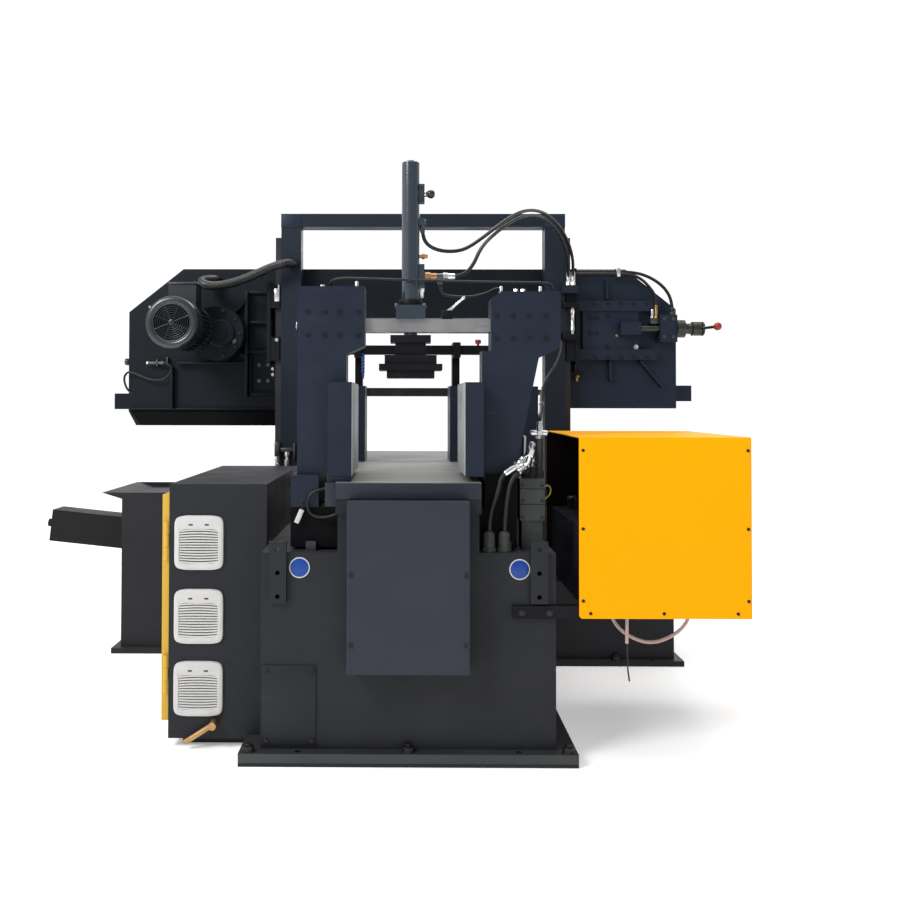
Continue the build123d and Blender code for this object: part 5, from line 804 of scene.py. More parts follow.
def makeFasteners(settings):
    form = bmesh.new()
    for place in settings["cover"] + settings["panel"]:
        socketScrew(form, place, toFront, 6, 5)
    for place in settings["hood"]:
        turned(form, place, toFront, ((0, 4.6), (1.4, 4.5), (2.6, 3.6), (3, 2.2), (3, 1.6, 6), (1.2, 1.5, 6),
                                      (1.2, 0)), 24)
    for place in settings["bar"]:
        hexBolt(form, place, toFront, 15, 5)
    for x, y, thick in settings["studs"]:
        plate = thick * perMetre
        turned(form, (x, y, 0), toTop,
               ((0, 7.8), (plate, 7.8), (plate, 17.5), (plate + 2, 17.5), (plate + 3, 17), (plate + 3, 15, 6),
                (plate + 14, 15, 6), (plate + 16, 12.8), (plate + 16, 7.8), (plate + 21, 7.8),
                (plate + 22, 6.6), (plate + 22, 0)), 30)
    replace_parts(addPiece("baseFasteners", form, "blackScrew", "base"), "base_fasteners")


makeFasteners(fastenerSettings)
print("front pieces ready")

# Clamp arms: screws in their front plates, fittings and pins on their tops, bright jaw faces
armSettings = {"leftX": (-0.288, -0.2402, -0.1965, -0.1432), "leftRows": (1.2413, 1.1752), "faceY": -1.17,
               "rightX": (0.2498, 0.295, 0.3408, 0.388), "rightRows": (1.2316, 1.1672)}


def makeArmScrews(settings):
    sides = (("left", "feed_jaw"), ("right", "feed_carriage"))
    places = {side: [(x, settings["faceY"], z) for x in settings[side + "X"] for z in settings[side + "Rows"]]
              for side, body in sides}
    for side, body in sides:
        screwPiece(side + "ArmScrews", "blackScrew", body, toFront, places[side], 6.6, 4.5)
    washer = ((0, 9.2), (1, 9.2), (1.3, 8.9), (1.3, 0))
    for side, body in sides:
        turnedPiece(side + "ArmWashers", "castPaint", body, toFront, washer, places[side])
    pin = ((0, 7.5), (4, 7.5), (4, 4.8), (20, 4.8), (22, 3.6), (22, 0))
    turnedPiece("leftTopPins", "brightSteel", "feed_jaw", toTop, pin, [(-0.151, -1.105, 1.314)])
    boltPiece("leftTopBolt", "brightSteel", "feed_jaw", toTop, [(-0.25, -1.105, 1.314)], 13, 10)
    turnedPiece("rightTopPins", "brightSteel", "feed_carriage", toTop, pin,
                [(0.269, -1.105, 1.3), (0.383, -1.105, 1.3)])
    boltPiece("rightTopBolts", "brightSteel", "feed_carriage", toTop,
              [(0.312, -1.105, 1.3), (0.333, -1.105, 1.3)], 13, 12)
    boltPiece("leftBarNut", "brightSteel", "feed_jaw", toLeft, [(-0.316, -1.12, 1.2035)], 22, 8)


makeArmScrews(armSettings)
print("arm pieces ready")
slabPiece("leftJawFace", "faceSteel", "feed_jaw", [((-0.1582, -1.2295, 0.78), (-0.1562, -0.8705, 1.039))],
          0.0006)
slabPiece("rightJawFace", "faceSteel", "feed_carriage", [((0.1562, -1.2295, 0.78), (0.1582, -0.8705, 1.039))],
          0.0006)
slabPiece("leftSlotCover", "blackIron", "feed_jaw", [((-0.3195, -1.153, 1.178), (-0.316, -1.087, 1.229))],
          0.001)
slabPiece("jawTopBars", "castPaint", "feed_jaw", [((-0.2245, -1.2285, 0.7625), (-0.1595, -1.2225, 0.778))],
          0.001)

# Overhead press: cap nut, bleeder, knob on the upper port, adaptors on the lower one, tee for the arm hose
pressSettings = {"x": 0.006, "y": -1.12, "top": 1.68, "foot": 1.262}


def makePressPieces(settings):
    foot = settings["foot"]
    x, y = settings["x"], settings["y"]
    turnedPiece("pressCap", "pressPaint", "feed_carriage", toTop,
                ((0, 20), (3, 20), (4.5, 18.5), (4.5, 10.5, 6), (9.5, 10.5, 6), (10.5, 9), (10.5, 0)),
                [(x, y, settings["top"] - 0.0045)], 36)
    turnedPiece("pressCollar", "blackIron", "feed_carriage", toTop,
                ((0, 33), (4, 34.5), (14, 34.5), (18, 32), (18, 27)),
                [(x, y, foot)], 40)
    boltPiece("pressFootBolts", "darkSteel", "feed_carriage", toTop,
              [(x + side * 0.04, y + depth, foot - 0.0005) for side in (-1, 1) for depth in (-0.02, 0.02)],
              10, 6)
    turnedPiece("portKnob", "blackPlastic", "feed_carriage", toRight,
                ((0, 6), (2.2, 9.2), (6, 11.8), (10.5, 13), (15, 12.6), (19.5, 10.4), (22.5, 6.2), (23.5, 0)),
                [(0.053, y, 1.588)], 28)
    turnedPiece("portNeck", "brightSteel", "feed_carriage", toRight,
                ((0, 8.8), (4, 8.8), (5, 7.2), (12, 7.2), (13, 6), (20, 6)),
                [(0.0455, y, 1.588)], 28)
    turnedPiece("portPlugs", "darkSteel", "feed_carriage", toFront,
                ((0, 7), (3, 7), (4, 6.2), (4, 3, 6), (1, 2.8, 6), (1, 0)),
                [(0.037, y - 0.012, 1.605), (0.037, y - 0.012, 1.571)], 24)
    turnedPiece("bleeder", "tapBrass", "feed_carriage", toRight,
                ((0, 5), (6, 5), (7, 7.5, 6), (14, 7.5, 6), (16, 6), (22, 6), (24, 4.5), (24, 0)),
                [(0.0315, y, 1.4067)], 24)
    turnedPiece("lowerAdaptor", "tapBrass", "feed_carriage", toRight,
                ((0, 9.5), (3, 10.5), (3, 11, 6), (16, 11, 6), (18, 9.8), (34, 9.8), (36, 9.2)),
                [(0.0455, y, 1.348)], 24)
    turnedPiece("lowerFerrule", "brightSteel", "feed_carriage", toRight,
                ((0, 10, 6), (12, 10, 6), (14, 9.2), (18, 9.6), (21, 9), (24, 9.6), (27, 9), (30, 9.6),
                 (34, 8.5)), [(0.1, y, 1.348)], 24)
    turnedPiece("upperFerrule", "darkSteel", "feed_carriage", toFloor,
                ((0, 7.8, 6), (8, 7.8, 6), (9, 7.2), (12, 7.5), (15, 7), (18, 7.5), (21, 6.4)),
                [(0.04, y, 1.4965)], 24)
    slabPiece("pressTee", "darkSteel", "feed_carriage",
              [((0.084, y - 0.007, 1.326), (0.098, y + 0.007, 1.3415))], 0.0015)
    turnedPiece("lowerElbow", "brightSteel", "feed_carriage", toFloor,
                ((0, 8, 6), (10, 8, 6), (12, 6.8), (26, 6.8), (28, 5), (28, 0)),
                [(0.0375, y - 0.003, 1.3135)], 24)


makePressPieces(pressSettings)

# Clamp lever on the cross bar
leverSettings = {"boss": ((0.095, -1.14, 1.222), (0.126, -1.1, 1.249)), "from": (0.1135, -1.12, 1.246),
                 "to": (0.163, -1.128, 1.2885), "radius": 0.0042}


def makeLever(settings):
    slabPiece("leverBoss", "blackIron", "feed_carriage", [settings["boss"]], 0.0025)
    start, end = Vector(settings["from"]), Vector(settings["to"])
    reach = (end - start).length * perMetre
    size = settings["radius"] * perMetre
    turnedPiece("leverRod", "brightSteel", "feed_carriage", end - start,
                ((0, 1.25 * size), (6, 1.25 * size), (8, size), (reach - 12, 0.92 * size),
                 (reach - 10, 1.15 * size), (reach - 3, 1.15 * size), (reach, 0.8 * size), (reach, 0)),
                 [start], 20)


makeLever(leverSettings)

# Press shoe: lock nut and screw heads
shoeSettings = {"x": 0.006, "y": -1.12, "top": 1.176}


def makeShoePieces(settings):
    x, y = settings["x"], settings["y"]
    turnedPiece("shoeNut", "darkSteel", "press", toTop,
                ((0, 19, 6), (6, 19, 6), (8, 16)), [(x, y, settings["top"])], 36)
    screwPiece("shoeScrews", "darkSteel", "press", toFront,
               [(x + side * 0.03, -1.1505, 1.098) for side in (-1, 1)], 5.2, 4)


makeShoePieces(shoeSettings)

# Smaller cords: arm line, arm hose, sensor lead, inner tension hose, cable by the cover, valve hoses, earth
smallCords = {
    "armLine": dict(
        radius=0.0035, finish="hoseRubber", between=("feed_jaw", "feed_carriage"), stiffness="stiff",
        lay="taut",
        route=((-0.225, -1.14, 1.314), (-0.225, -1.15, 1.33), (-0.2, -1.163, 1.3385), (-0.12, -1.168, 1.336),
               (0.006, -1.17, 1.3315), (0.15, -1.168, 1.328), (0.3, -1.163, 1.326), (0.39, -1.155, 1.3265),
               (0.414, -1.145, 1.319), (0.414, -1.14, 1.3))),
    "armHose": dict(
        radius=0.0045, finish="hoseRubber", body="feed_carriage", stiffness="stiff", lay="hanging",
        route=((0.091, -1.12, 1.3265), (0.092, -1.12, 1.31), (0.102, -1.118, 1.2945), (0.135, -1.112, 1.289),
               (0.18, -1.106, 1.29), (0.224, -1.104, 1.299), (0.25, -1.104, 1.313), (0.264, -1.105, 1.316),
               (0.269, -1.105, 1.308))),
    "sensorLead": dict(
        radius=0.0042, finish="hoseRubber", body="bow", stiffness="medium", lay="hanging",
        route=((-0.939, -0.19, 1.134), (-0.915, -0.19, 1.13), (-0.908, -0.19, 1.1), (-0.94, -0.192, 1.068),
               (-0.99, -0.192, 1.068), (-1.035, -0.19, 1.086), (-1.078, -0.186, 1.104), (-1.1, -0.18, 1.078),
               (-1.09, -0.173, 1.035), (-1.07, -0.169, 1.018), (-1.06, -0.165, 1.015))),
    "tensionHoseInner": dict(
        radius=0.0055, finish="hoseRubber", body="bow", stiffness="stiff", lay="loose",
        route=((0.817, -0.205, 1.478), (0.86, -0.205, 1.477), (0.902, -0.206, 1.456), (0.936, -0.206, 1.418),
               (0.952, -0.206, 1.39), (0.953, -0.206, 1.354))),
    "jawCable": dict(
        radius=0.004, finish="hoseRubber", body="base", stiffness="medium", lay="loose",
        route=((-0.2, -1.205, 0.742), (-0.233, -1.208, 0.744), (-0.272, -1.211, 0.732),
               (-0.283, -1.213, 0.703), (-0.277, -1.215, 0.676), (-0.256, -1.217, 0.663),
               (-0.23, -1.219, 0.663), (-0.2, -1.22, 0.672), (-0.165, -1.22, 0.686))),
    "valveHose": dict(
        radius=0.0065, finish="hoseRubber", body="base", stiffness="stiff", lay="loose",
        route=((0.2684, -1.212, 0.7845), (0.256, -1.2155, 0.77), (0.252, -1.219, 0.744),
               (0.24, -1.221, 0.712), (0.228, -1.223, 0.678), (0.224, -1.224, 0.63), (0.224, -1.224, 0.57))),
    "valveHoseRear": dict(
        radius=0.0065, finish="hoseRubber", body="base", stiffness="stiff", lay="loose",
        route=((0.3047, -1.213, 0.7868), (0.29, -1.2165, 0.774), (0.279, -1.219, 0.742), (0.272, -1.221, 0.7),
               (0.267, -1.222, 0.64), (0.266, -1.222, 0.57))),
    "earthLoop": dict(
        radius=0.0022, finish="earthWire", body="base", stiffness="limp", lay="hanging",
        route=((0.385, -1.15, 0.743), (0.395, -1.151, 0.749), (0.405, -1.152, 0.744), (0.406, -1.152, 0.727),
               (0.396, -1.151, 0.713), (0.385, -1.15, 0.708))),
}
for cordName, cordLook in smallCords.items():
    makeCord(cordName, cordLook)
print("press and small cords ready")


# A straight rib between two points of the bow's front plate, as a slab turned about Y
def ribBetween(form, start, end, thick, low, high, edge=0.001):
    (x0, z0), (x1, z1) = start, end
    reach = math.hypot(x1 - x0, z1 - z0)
    turn = Matrix.Rotation(-math.atan2(z1 - z0, x1 - x0), 4, "Y")
    middle = Vector(((x0 + x1) / 2, (low + high) / 2, (z0 + z1) / 2))
    half = Vector((reach / 2, (high - low) / 2, thick / 2))
    slab(form, middle - half, middle + half, edge, 2, turn)


def ribPiece(name, finish, settings):
    form = bmesh.new()
    for start, end, thick, out in settings["lines"]:
        ribBetween(form, start, end, thick, settings["face"] - out, settings["face"])
    addPiece(name, form, finish, "bow")


# Drive side of the bow: welded ribs, a near-black sheet painting the shade of the recessed tray, frame bolts,
# sensor and side knob
driveRibs = {"face": -0.164, "lines": (((-0.62, 1.004), (-0.62, 1.411), 0.0115, 0.044),
                                       ((-0.614, 1.2911), (-0.508, 1.2911), 0.01, 0.03),
                                       ((-0.614, 1.1787), (-0.508, 1.1787), 0.01, 0.03),
                                       ((-0.614, 1.408), (-0.508, 1.408), 0.009, 0.018),
                                       ((-0.6293, 1.3648), (-0.685, 1.3175), 0.009, 0.03),
                                       ((-0.66, 1.181), (-0.626, 1.1594), 0.009, 0.03),
                                       ((-0.889, 1.1342), (-0.6255, 1.1342), 0.009, 0.036),
                                       ((-0.9103, 0.96), (-0.9103, 1.1206), 0.009, 0.028),
                                       ((-0.607, 1.012), (-0.607, 1.164), 0.008, 0.022),
                                       ((-0.61, 1.016), (-0.508, 1.016), 0.009, 0.026),
                                       ((-0.512, 1.012), (-0.512, 1.164), 0.008, 0.022),
                                       ((-1.079, 0.957), (-0.492, 0.957), 0.007, 0.016))}


def makeDriveRibs(settings):
    # The drive ribs take the darker housing paint that stands in for shade
    ribPiece("driveRibs", "driveShadePaint", settings)
    # A near-black sheet over the CAD face below the plate paints the shade of the recessed tray
    shadeSheet = bmesh.new()
    turn = Matrix.Translation((0, settings["face"], 0)) @ Matrix.Rotation(math.pi / 2, 4, "X")
    sheetPlate(shadeSheet, ((-1.077, 0.952), (-1.0345, 0.8945), (-0.4925, 0.8945), (-0.4925, 0.952)), 0.004, turn)
    addPiece("driveTrayShadeSheet", shadeSheet, "paintedShadeIron", "bow")
    boltPiece("frameBolts", "darkSteel", "bow", toFront,
              [(-0.575, -0.166, 1.066), (-0.54, -0.166, 1.066), (-0.575, -0.166, 1.128),
               (-0.54, -0.166, 1.128)],
              13, 8)
    boltPiece("frameBright", "brightSteel", "bow", toFront, [(-0.52, -0.184, 1.09), (-0.5205, -0.184, 1.112)],
              10, 7)
    turnedPiece("sensorBody", "darkSteel", "bow", toRight,
                ((0, 7.2), (2, 8), (6, 8), (6, 6.8), (52, 6.8), (53, 8.5), (60, 8.5), (62, 5.5), (66, 4.2)),
                [(-1.002, -0.19, 1.134)], 24)
    turnedPiece("sensorTip", "brightSteel", "bow", toLeft, ((0, 7), (4, 7), (6, 5.2), (6, 0)),
                [(-1.0015, -0.19, 1.134)], 24)
    slabPiece("sensorBracket", "darkSteel", "bow",
              [((-0.968, -0.1995, 1.122), (-0.962, -0.164, 1.146)),
               ((-0.93, -0.19, 1.125), (-0.926, -0.164, 1.156))], 0.001)
    turnedPiece("sideKnob", "blackPlastic", "bow", toLeft,
                ((0, 8), (5, 8), (6, 12.5), (12, 14), (20, 12.5), (23, 8), (23, 0)),
                [(-1.0825, -0.14, 1.14)], 24)


makeDriveRibs(driveRibs)

# Drive motor: cowl rim, wire grille, rings, terminal box lid, flange bolts, gearbox bolts and cover
motorSettings = {"x": -0.81254, "z": 1.25752, "cowlY": -0.6, "bodyY": -0.515, "flangeY": -0.3,
                 "boxTop": 1.4055, "wheelX": -0.718, "wheelZ": 1.24085, "grilleRings": 8,
                 "grilleStart": 0.003, "grillePitch": 0.0075, "ringWire": 0.0011, "spokes": 8,
                 "spokeReach": (0.008, 0.036, 0.0665), "spokeWire": 0.0013, "flangeCircle": 0.072,
                 "gearboxCircle": 0.089, "gearboxTurns": (-72, -36, 0, 36, 72)}


def makeMotorPieces(settings):
    cowl, flange, boxTop = settings["cowlY"], settings["flangeY"], settings["boxTop"]
    wheelX, wheelZ = settings["wheelX"], settings["wheelZ"]
    x, z = settings["x"], settings["z"]
    turnedPiece("cowlRim", "rimPaint", "bow", toFront,
                ((-22, 90.2), (-16, 91.5), (-6, 91.5), (1, 89.5), (5, 84), (6.2, 76), (5.2, 69), (3, 66.5),
                 (0.4, 66)), [(x, cowl, z)], 72)
    # A near-black disc behind the grille paints the shade inside the fan cowl
    turnedPiece("cowlShadeDisc", "paintedShadeIron", "bow", toFront, ((0, 66.5), (0.6, 66.5), (0.6, 0)),
                [(x, cowl, z)], 48)
    grille = bmesh.new()
    for ring in range(1, settings["grilleRings"] + 1):
        radius = settings["grillePitch"] * ring + settings["grilleStart"]
        loop = [Vector((x + radius * math.cos(angle), cowl - 0.003, z + radius * math.sin(angle)))
                for angle in (2 * math.pi * step / 64 for step in range(65))]
        tubeAlong(grille, loop, settings["ringWire"], 8)
    for spoke in range(settings["spokes"]):
        angle = 2 * math.pi * (spoke + 0.5) / settings["spokes"]
        tubeAlong(grille, [Vector((x + reach * math.cos(angle), cowl - 0.0022, z + reach * math.sin(angle)))
                           for reach in settings["spokeReach"]], settings["spokeWire"], 8)
    turned(grille, (x, cowl - 0.001, z), toFront, ((0, 11), (3, 11), (4, 9), (4, 0)), 32)
    addPiece("cowlGrille", grille, "grilleWire", "bow")
    turnedPiece("cowlRing", "darkSteel", "bow", toFront,
                ((0.4, 66.8), (3.4, 66.8), (4.2, 65.6), (3.4, 64), (0.4, 63.6)),
                [(x, cowl, z)], 72)
    boltPiece("plateScrew", "brightSteel", "bow", toFront, [(-1.0025, -0.165, 1.353)], 8, 5)
    turnedPiece("motorRings", "motorPaint", "bow", toFront,
                ((-4, 84.5), (0, 87), (10, 87), (14, 84.5)),
                [(x, flange - 0.012, z), (x, settings["bodyY"] + 0.016, z)], 72)
    lid = bmesh.new()
    slab(lid, (x - 0.053, -0.448, boxTop), (x + 0.053, -0.352, boxTop + 0.01), 0.003, 3)
    addPiece("terminalLid", lid, "motorPaint", "bow")
    screwPiece("terminalScrews", "darkSteel", "bow", toTop,
               [(x + side * 0.046, y, boxTop + 0.01) for side in (-1, 1) for y in (-0.441, -0.359)], 3.8, 3)
    circle = settings["flangeCircle"]
    boltPiece("flangeBolts", "darkSteel", "bow", toFront,
              [(x + circle * math.cos(angle), flange, z + circle * math.sin(angle))
               for angle in (math.radians(45 + 90 * step) for step in range(4))], 12, 8)
    circle = settings["gearboxCircle"]
    boltPiece("gearboxBolts", "blackScrew", "bow", toFront,
              [(wheelX + circle * math.cos(angle), flange, wheelZ + circle * math.sin(angle))
               for angle in (math.radians(turn) for turn in settings["gearboxTurns"])], 12, 7)
    # The gearbox cover takes the darker housing paint that stands in for shade
    turnedPiece("gearboxCover", "driveShadePaint", "bow", toFront,
                ((0, 52), (6, 52), (10, 48), (10, 26), (13, 24), (13, 0)),
                [(wheelX + 0.018, flange, wheelZ)], 48)
    turnedPiece("gearboxPlug", "dullBrass", "bow", toFront,
                ((0, 8, 6), (5, 8, 6), (7, 6.2), (7, 0)),
                [(wheelX + 0.07, flange, wheelZ - 0.03)], 24)


makeMotorPieces(motorSettings)
print("drive side ready")

# Idler side of the bow: ribs, screws, hose block, clip, pipes, stop bracket and crank
idlerRibs = {"face": -0.164, "lines": (((0.646, 1.08), (0.646, 1.495), 0.0085, 0.026),
                                       ((0.7699, 1.384), (0.7699, 1.4539), 0.0085, 0.022),
                                       ((0.7815, 1.0663), (0.7815, 1.148), 0.0085, 0.024),
                                       ((0.897, 1.1452), (0.982, 1.044), 0.009, 0.03))}


def makeIdlerPieces(settings):
    ribPiece("idlerRibs", "bowPaint", settings)
    screwPiece("slideScrews", "blackScrew", "tension_slide", toFront,
               [(x, -0.19, z) for x in (0.706, 0.728) for z in (1.3105, 1.2524)]
               + [(0.77, -0.19, 1.318), (0.77, -0.19, 1.2)], 7.5, 5)
    boltPiece("slidePin", "brightSteel", "tension_slide", toFront, [(0.88, -0.19, 1.1985)], 14, 8)
    screwPiece("gibScrews", "blackScrew", "bow", toFront,
               [(x, -0.197, z) for x in (0.72, 0.77, 0.82, 0.87, 0.92) for z in (1.366, 1.159)], 6.2, 5)
    turnedPiece("slideGrease", "tapBrass", "tension_slide", toFront,
                ((0, 5, 6), (5, 5, 6), (7, 3), (10, 3.5), (12, 2.2), (12, 0)),
                [(0.805, -0.19, 1.24085)], 18)
    screwPiece("blockScrews", "darkSteel", "bow", toFront,
               [(x, -0.236, z) for x in (0.977, 1.011) for z in (1.233, 1.301)], 6.5, 5)
    turnedPiece("crankBoss", "bowPaint", "bow", toRight,
                ((0, 36), (0.4, 36), (0.8, 34.5)), [(1.0258, -0.212, 1.26685)], 40)
    slabPiece("hoseBlock", "darkSteel", "bow", [((0.928, -0.22, 1.286), (0.9625, -0.164, 1.308))], 0.002)
    nipple = ((0, 7, 6), (8, 7, 6), (9, 5.8), (14, 6.2), (18, 5.8), (22, 6.2), (26, 5.8), (30, 6.2),
              (34, 5.2), (34, 0))
    turnedPiece("hoseNipples", "brightSteel", "bow", toTop, nipple, [(0.938, -0.206, 1.308)], 24)
    turnedPiece("hoseNippleBrass", "tapBrass", "bow", toTop, nipple[:-3] + ((46, 6), (50, 6)),
                [(0.953, -0.206, 1.308)], 24)
    turnedPiece("blockElbow", "blackPlastic", "bow", toTop,
                ((0, 11, 6), (10, 11, 6), (12, 9.5), (26, 9.5), (28, 7.5)),
                [(1.014, -0.212, 1.3188)], 24)
    slabPiece("hoseClip", "brightSteel", "bow", [((0.8015, -0.2145, 1.467), (0.8155, -0.164, 1.5))], 0.002)
    pipes = bmesh.new()
    for y, z in ((-0.185, 1.4889), (-0.205, 1.478)):
        tubeAlong(pipes, [Vector((x, y, z)) for x in (0.644, 0.68, 0.74, 0.817)], 0.0055, 16)
    addPiece("topPipes", pipes, "hoseRubber", "bow")
    slabPiece("pipeBlock", "blackIron", "bow", [((0.63, -0.214, 1.468), (0.648, -0.164, 1.499))], 0.0015)
    turnedPiece("edgeKnob", "blackPlastic", "bow", toRight,
                ((0, 20), (4, 20), (9, 16.5), (12, 9), (12.5, 0)), [(1.0395, -0.11, 1.1749)], 32)
    slabPiece("stopBracket", "blackIron", "bow",
              [((0.601, -0.202, 1.088), (0.672, -0.164, 1.102)),
               ((0.625, -0.202, 1.064), (0.633, -0.164, 1.09))], 0.0012)
    turnedPiece("stopBolt", "tapBrass", "bow", toFloor,
                ((0, 9.5, 6), (7, 9.5, 6), (8, 5.5), (22, 5.5), (23, 4.5), (23, 0)),
                [(0.652, -0.184, 1.088)], 24)
    reach = Vector((0.31, -0.9507, 0))
    turnedPiece("crankBall", "redCap", "tension_crank", reach,
                ((-15.5, 8), (-12.5, 8.2), (-11, 10), (-8.5, 12.4), (-4.5, 14.3), (0, 15), (4.5, 14.5),
                 (8.5, 12.9), (11.5, 10.4), (13.8, 6.8), (14.7, 3), (14.8, 0)),
                 [(1.14706, -0.33179, 1.26685)], 32)
    turnedPiece("crankCollar", "crankIron", "tension_crank", toRight,
                ((0, 21), (3, 21.2), (5, 20), (18, 20.6), (20, 21.4), (26, 21.4), (28, 20.4)),
                [(1.0585, -0.212, 1.26685)], 40)
    turnedPiece("crankFace", "crankIron", "tension_crank", toRight,
                ((-4, 27.2), (0, 27.6), (3, 25), (4, 14), (6.5, 13.5), (7.5, 12), (7.5, 0)),
                [(1.129, -0.212, 1.26685)], 40)


makeIdlerPieces(idlerRibs)
print("idler side ready")

# Columns: stop strip and rod, hose ends, foot bolts, caps of the tie beam, manifold beside the left one
columnSettings = {"leftFace": -0.481, "rightFace": 0.597, "frontY": -0.25}


def makeColumnPieces(settings):
    left, right, front = settings["leftFace"], settings["rightFace"], settings["frontY"]
    slabPiece("stopStrip", "brightSteel", "bow",
              [((-0.5065, -0.249, 1.367), (-0.4875, -0.2465, 1.416)),
               ((-0.494, -0.249, 1.414), (-0.4875, -0.2465, 1.4305))], 0.0008)
    boltPiece("stopBolts", "brightSteel", "bow", toFront, [(-0.4975, -0.247, 1.22)], 11, 7)
    slabPiece("rodBrackets", "blackIron", "base",
              [((right - 0.012, front - 0.03, 1.341), (right + 0.038, front, 1.362)),
               ((right - 0.012, front - 0.03, 1.22), (right + 0.038, front, 1.242))],
              0.0015)
    turnedPiece("stopRod", "brightSteel", "base", toTop,
                ((0, 6), (12, 6), (13, 8.5), (30, 8.5), (32, 7), (78, 7), (80, 8.5), (94, 8.5), (95, 6),
                 (102, 6)), [(right + 0.0255, front - 0.015, 1.241)], 24)
    ferrule = ((0, 8.5, 6), (12, 8.5, 6), (14, 7.4), (18, 9), (24, 8.4), (30, 9), (36, 8.4), (42, 9),
               (50, 7.4), (54, 6.2))
    turnedPiece("pressFerrules", "brightSteel", "base", toTop, ferrule,
                [(0.624, front - 0.02, 1.4248), (0.606, front - 0.02, 1.4248)], 24)
    form = bmesh.new()
    for x in (left - 0.008, left + 0.084, right - 0.084, right + 0.008):
        for depth in (0.014, 0.062):
            hexBolt(form, (x, front + depth, 0.595), toTop, 17, 10)
    addPiece("footBolts", form, "darkSteel", "base")
    slabPiece("tieCaps", "bowPaint", "base",
              [((left - 0.001, front - 0.002, 1.648), (left + 0.077, front, 1.7)),
               ((right - 0.077, front - 0.002, 1.648), (right + 0.001, front, 1.7))], 0.001)
    slabPiece("manifoldBracket", "darkSteel", "base",
              [((left - 0.02, front - 0.022, 0.779), (left - 0.0005, front, 0.833)),
               ((left, front - 0.014, 0.796), (left + 0.051, front, 0.811)),
               ((left + 0.051, front - 0.018, 0.766), (left + 0.058, front, 0.828))],
              0.0015)
    ferrule = ((0, 8.5, 6), (14, 8.5, 6), (16, 7), (26, 7), (28, 9.8), (60, 9.8), (62, 8), (70, 8), (72, 9.2),
               (98, 9.2), (100, 7), (100, 0))
    turnedPiece("manifoldFerrules", "brightSteel", "base", toFloor, ferrule,
                [(left - 0.011, front - 0.012, 0.779), (left + 0.027, front - 0.008, 0.796)], 24)


makeColumnPieces(columnSettings)
print("column pieces ready")

# Valves beside the table: screws in the stacked blocks, bright elbows and crimped hose ends
valveSettings = {"left": 0.315, "right": 0.385, "front": -1.18, "rows": (0.66, 0.707, 0.75),
                 "fittingY": -1.12, "nuts": ((0.339, 0.787), (0.359, 0.8)),
                 "elbows": ((0.339, 0.824), (0.359, 0.858)),
                 "knees": ((0.3126, -1.205, 0.8134), (0.3333, -1.19, 0.8069)),
                 "ends": ((0.2684, -1.212, 0.7845), (0.3047, -1.213, 0.7868)), "post": (0.3343, 0.834),
                 "cableX": 0.379, "cableZ": 0.88}


def makeValvePieces(settings):
    y = settings["fittingY"]
    screwPiece("valveScrews", "blackScrew", "base", toFront,
               [(x, settings["front"], z) for x in (settings["left"] + 0.008, settings["right"] - 0.008)
                for z in settings["rows"]], 3.6, 3)
    turnedPiece("valveNuts", "brightSteel", "base", toTop,
                ((0, 12, 6), (14, 12, 6), (16, 10), (22, 10.5), (26, 9.2)),
                [(x, y, z) for x, z in settings["nuts"]], 24)
    elbowForm, ferruleForm = bmesh.new(), bmesh.new()
    for (x, z), knee, end in zip(settings["elbows"], settings["knees"], settings["ends"]):
        start, knee = Vector((x, y, z)), Vector(knee)
        neck = knee - start
        reach = neck.length * perMetre
        turned(ferruleForm, start, neck,
               ((0, 8.6), (0.3 * reach, 8.6), (0.32 * reach, 11, 6), (0.62 * reach, 11, 6),
                (0.64 * reach, 8.8), (0.92 * reach, 9.6), (reach, 10), (reach + 6, 8.2), (reach + 8.5, 4),
                (reach + 9, 0)), 24)
        run = Vector(end) - knee
        turned(elbowForm, start - Vector((0, 0, 0.016)), toTop,
               ((0, 9.8), (6, 11.2), (12, 11.8), (18, 11.6), (23, 10.2), (27, 7.2), (28.5, 3.5), (29, 0)), 28)
        reach = run.length * perMetre
        turned(ferruleForm, knee, run,
               ((0, 9), (0.14 * reach, 9), (0.15 * reach, 10.8, 6), (0.32 * reach, 10.8, 6),
                (0.34 * reach, 7.8), (0.42 * reach, 7.8), (0.44 * reach, 10.4), (0.52 * reach, 9.8),
                (0.6 * reach, 10.4), (0.68 * reach, 9.8), (0.76 * reach, 10.4), (0.84 * reach, 9.8),
                (0.92 * reach, 10.4), (reach, 8.8), (reach, 0)), 24)
    addPiece("valveElbows", elbowForm, "brightSteel", "base")
    addPiece("valveFerrules", ferruleForm, "brightSteel", "base")
    tee = bmesh.new()
    turned(tee, (settings["cableX"], y, settings["cableZ"]), toTop,
           ((0, 11, 6), (12, 11, 6), (14, 9.2), (34, 9.2), (36, 8), (50, 7.2)), 24)
    turned(tee, (0.3515, y - 0.004, 0.896), toRight,
           ((0, 6), (3, 8), (18, 8), (20, 9.6, 6), (34, 9.6, 6), (36, 7.8), (47, 8.4), (50, 6)), 24)
    turned(tee, (settings["post"][0], y, settings["post"][1]), toTop,
           ((0, 7), (10, 7), (12, 5.6), (50, 5.6), (53, 4.2), (54, 0)), 20)
    addPiece("valveTee", tee, "brightSteel", "base")


makeValvePieces(valveSettings)

# Hydraulic unit: filler cap, tube clamps and the sleeve on the drain pipe
tankSettings = {"neck": (0.55, -0.749, 0.657)}


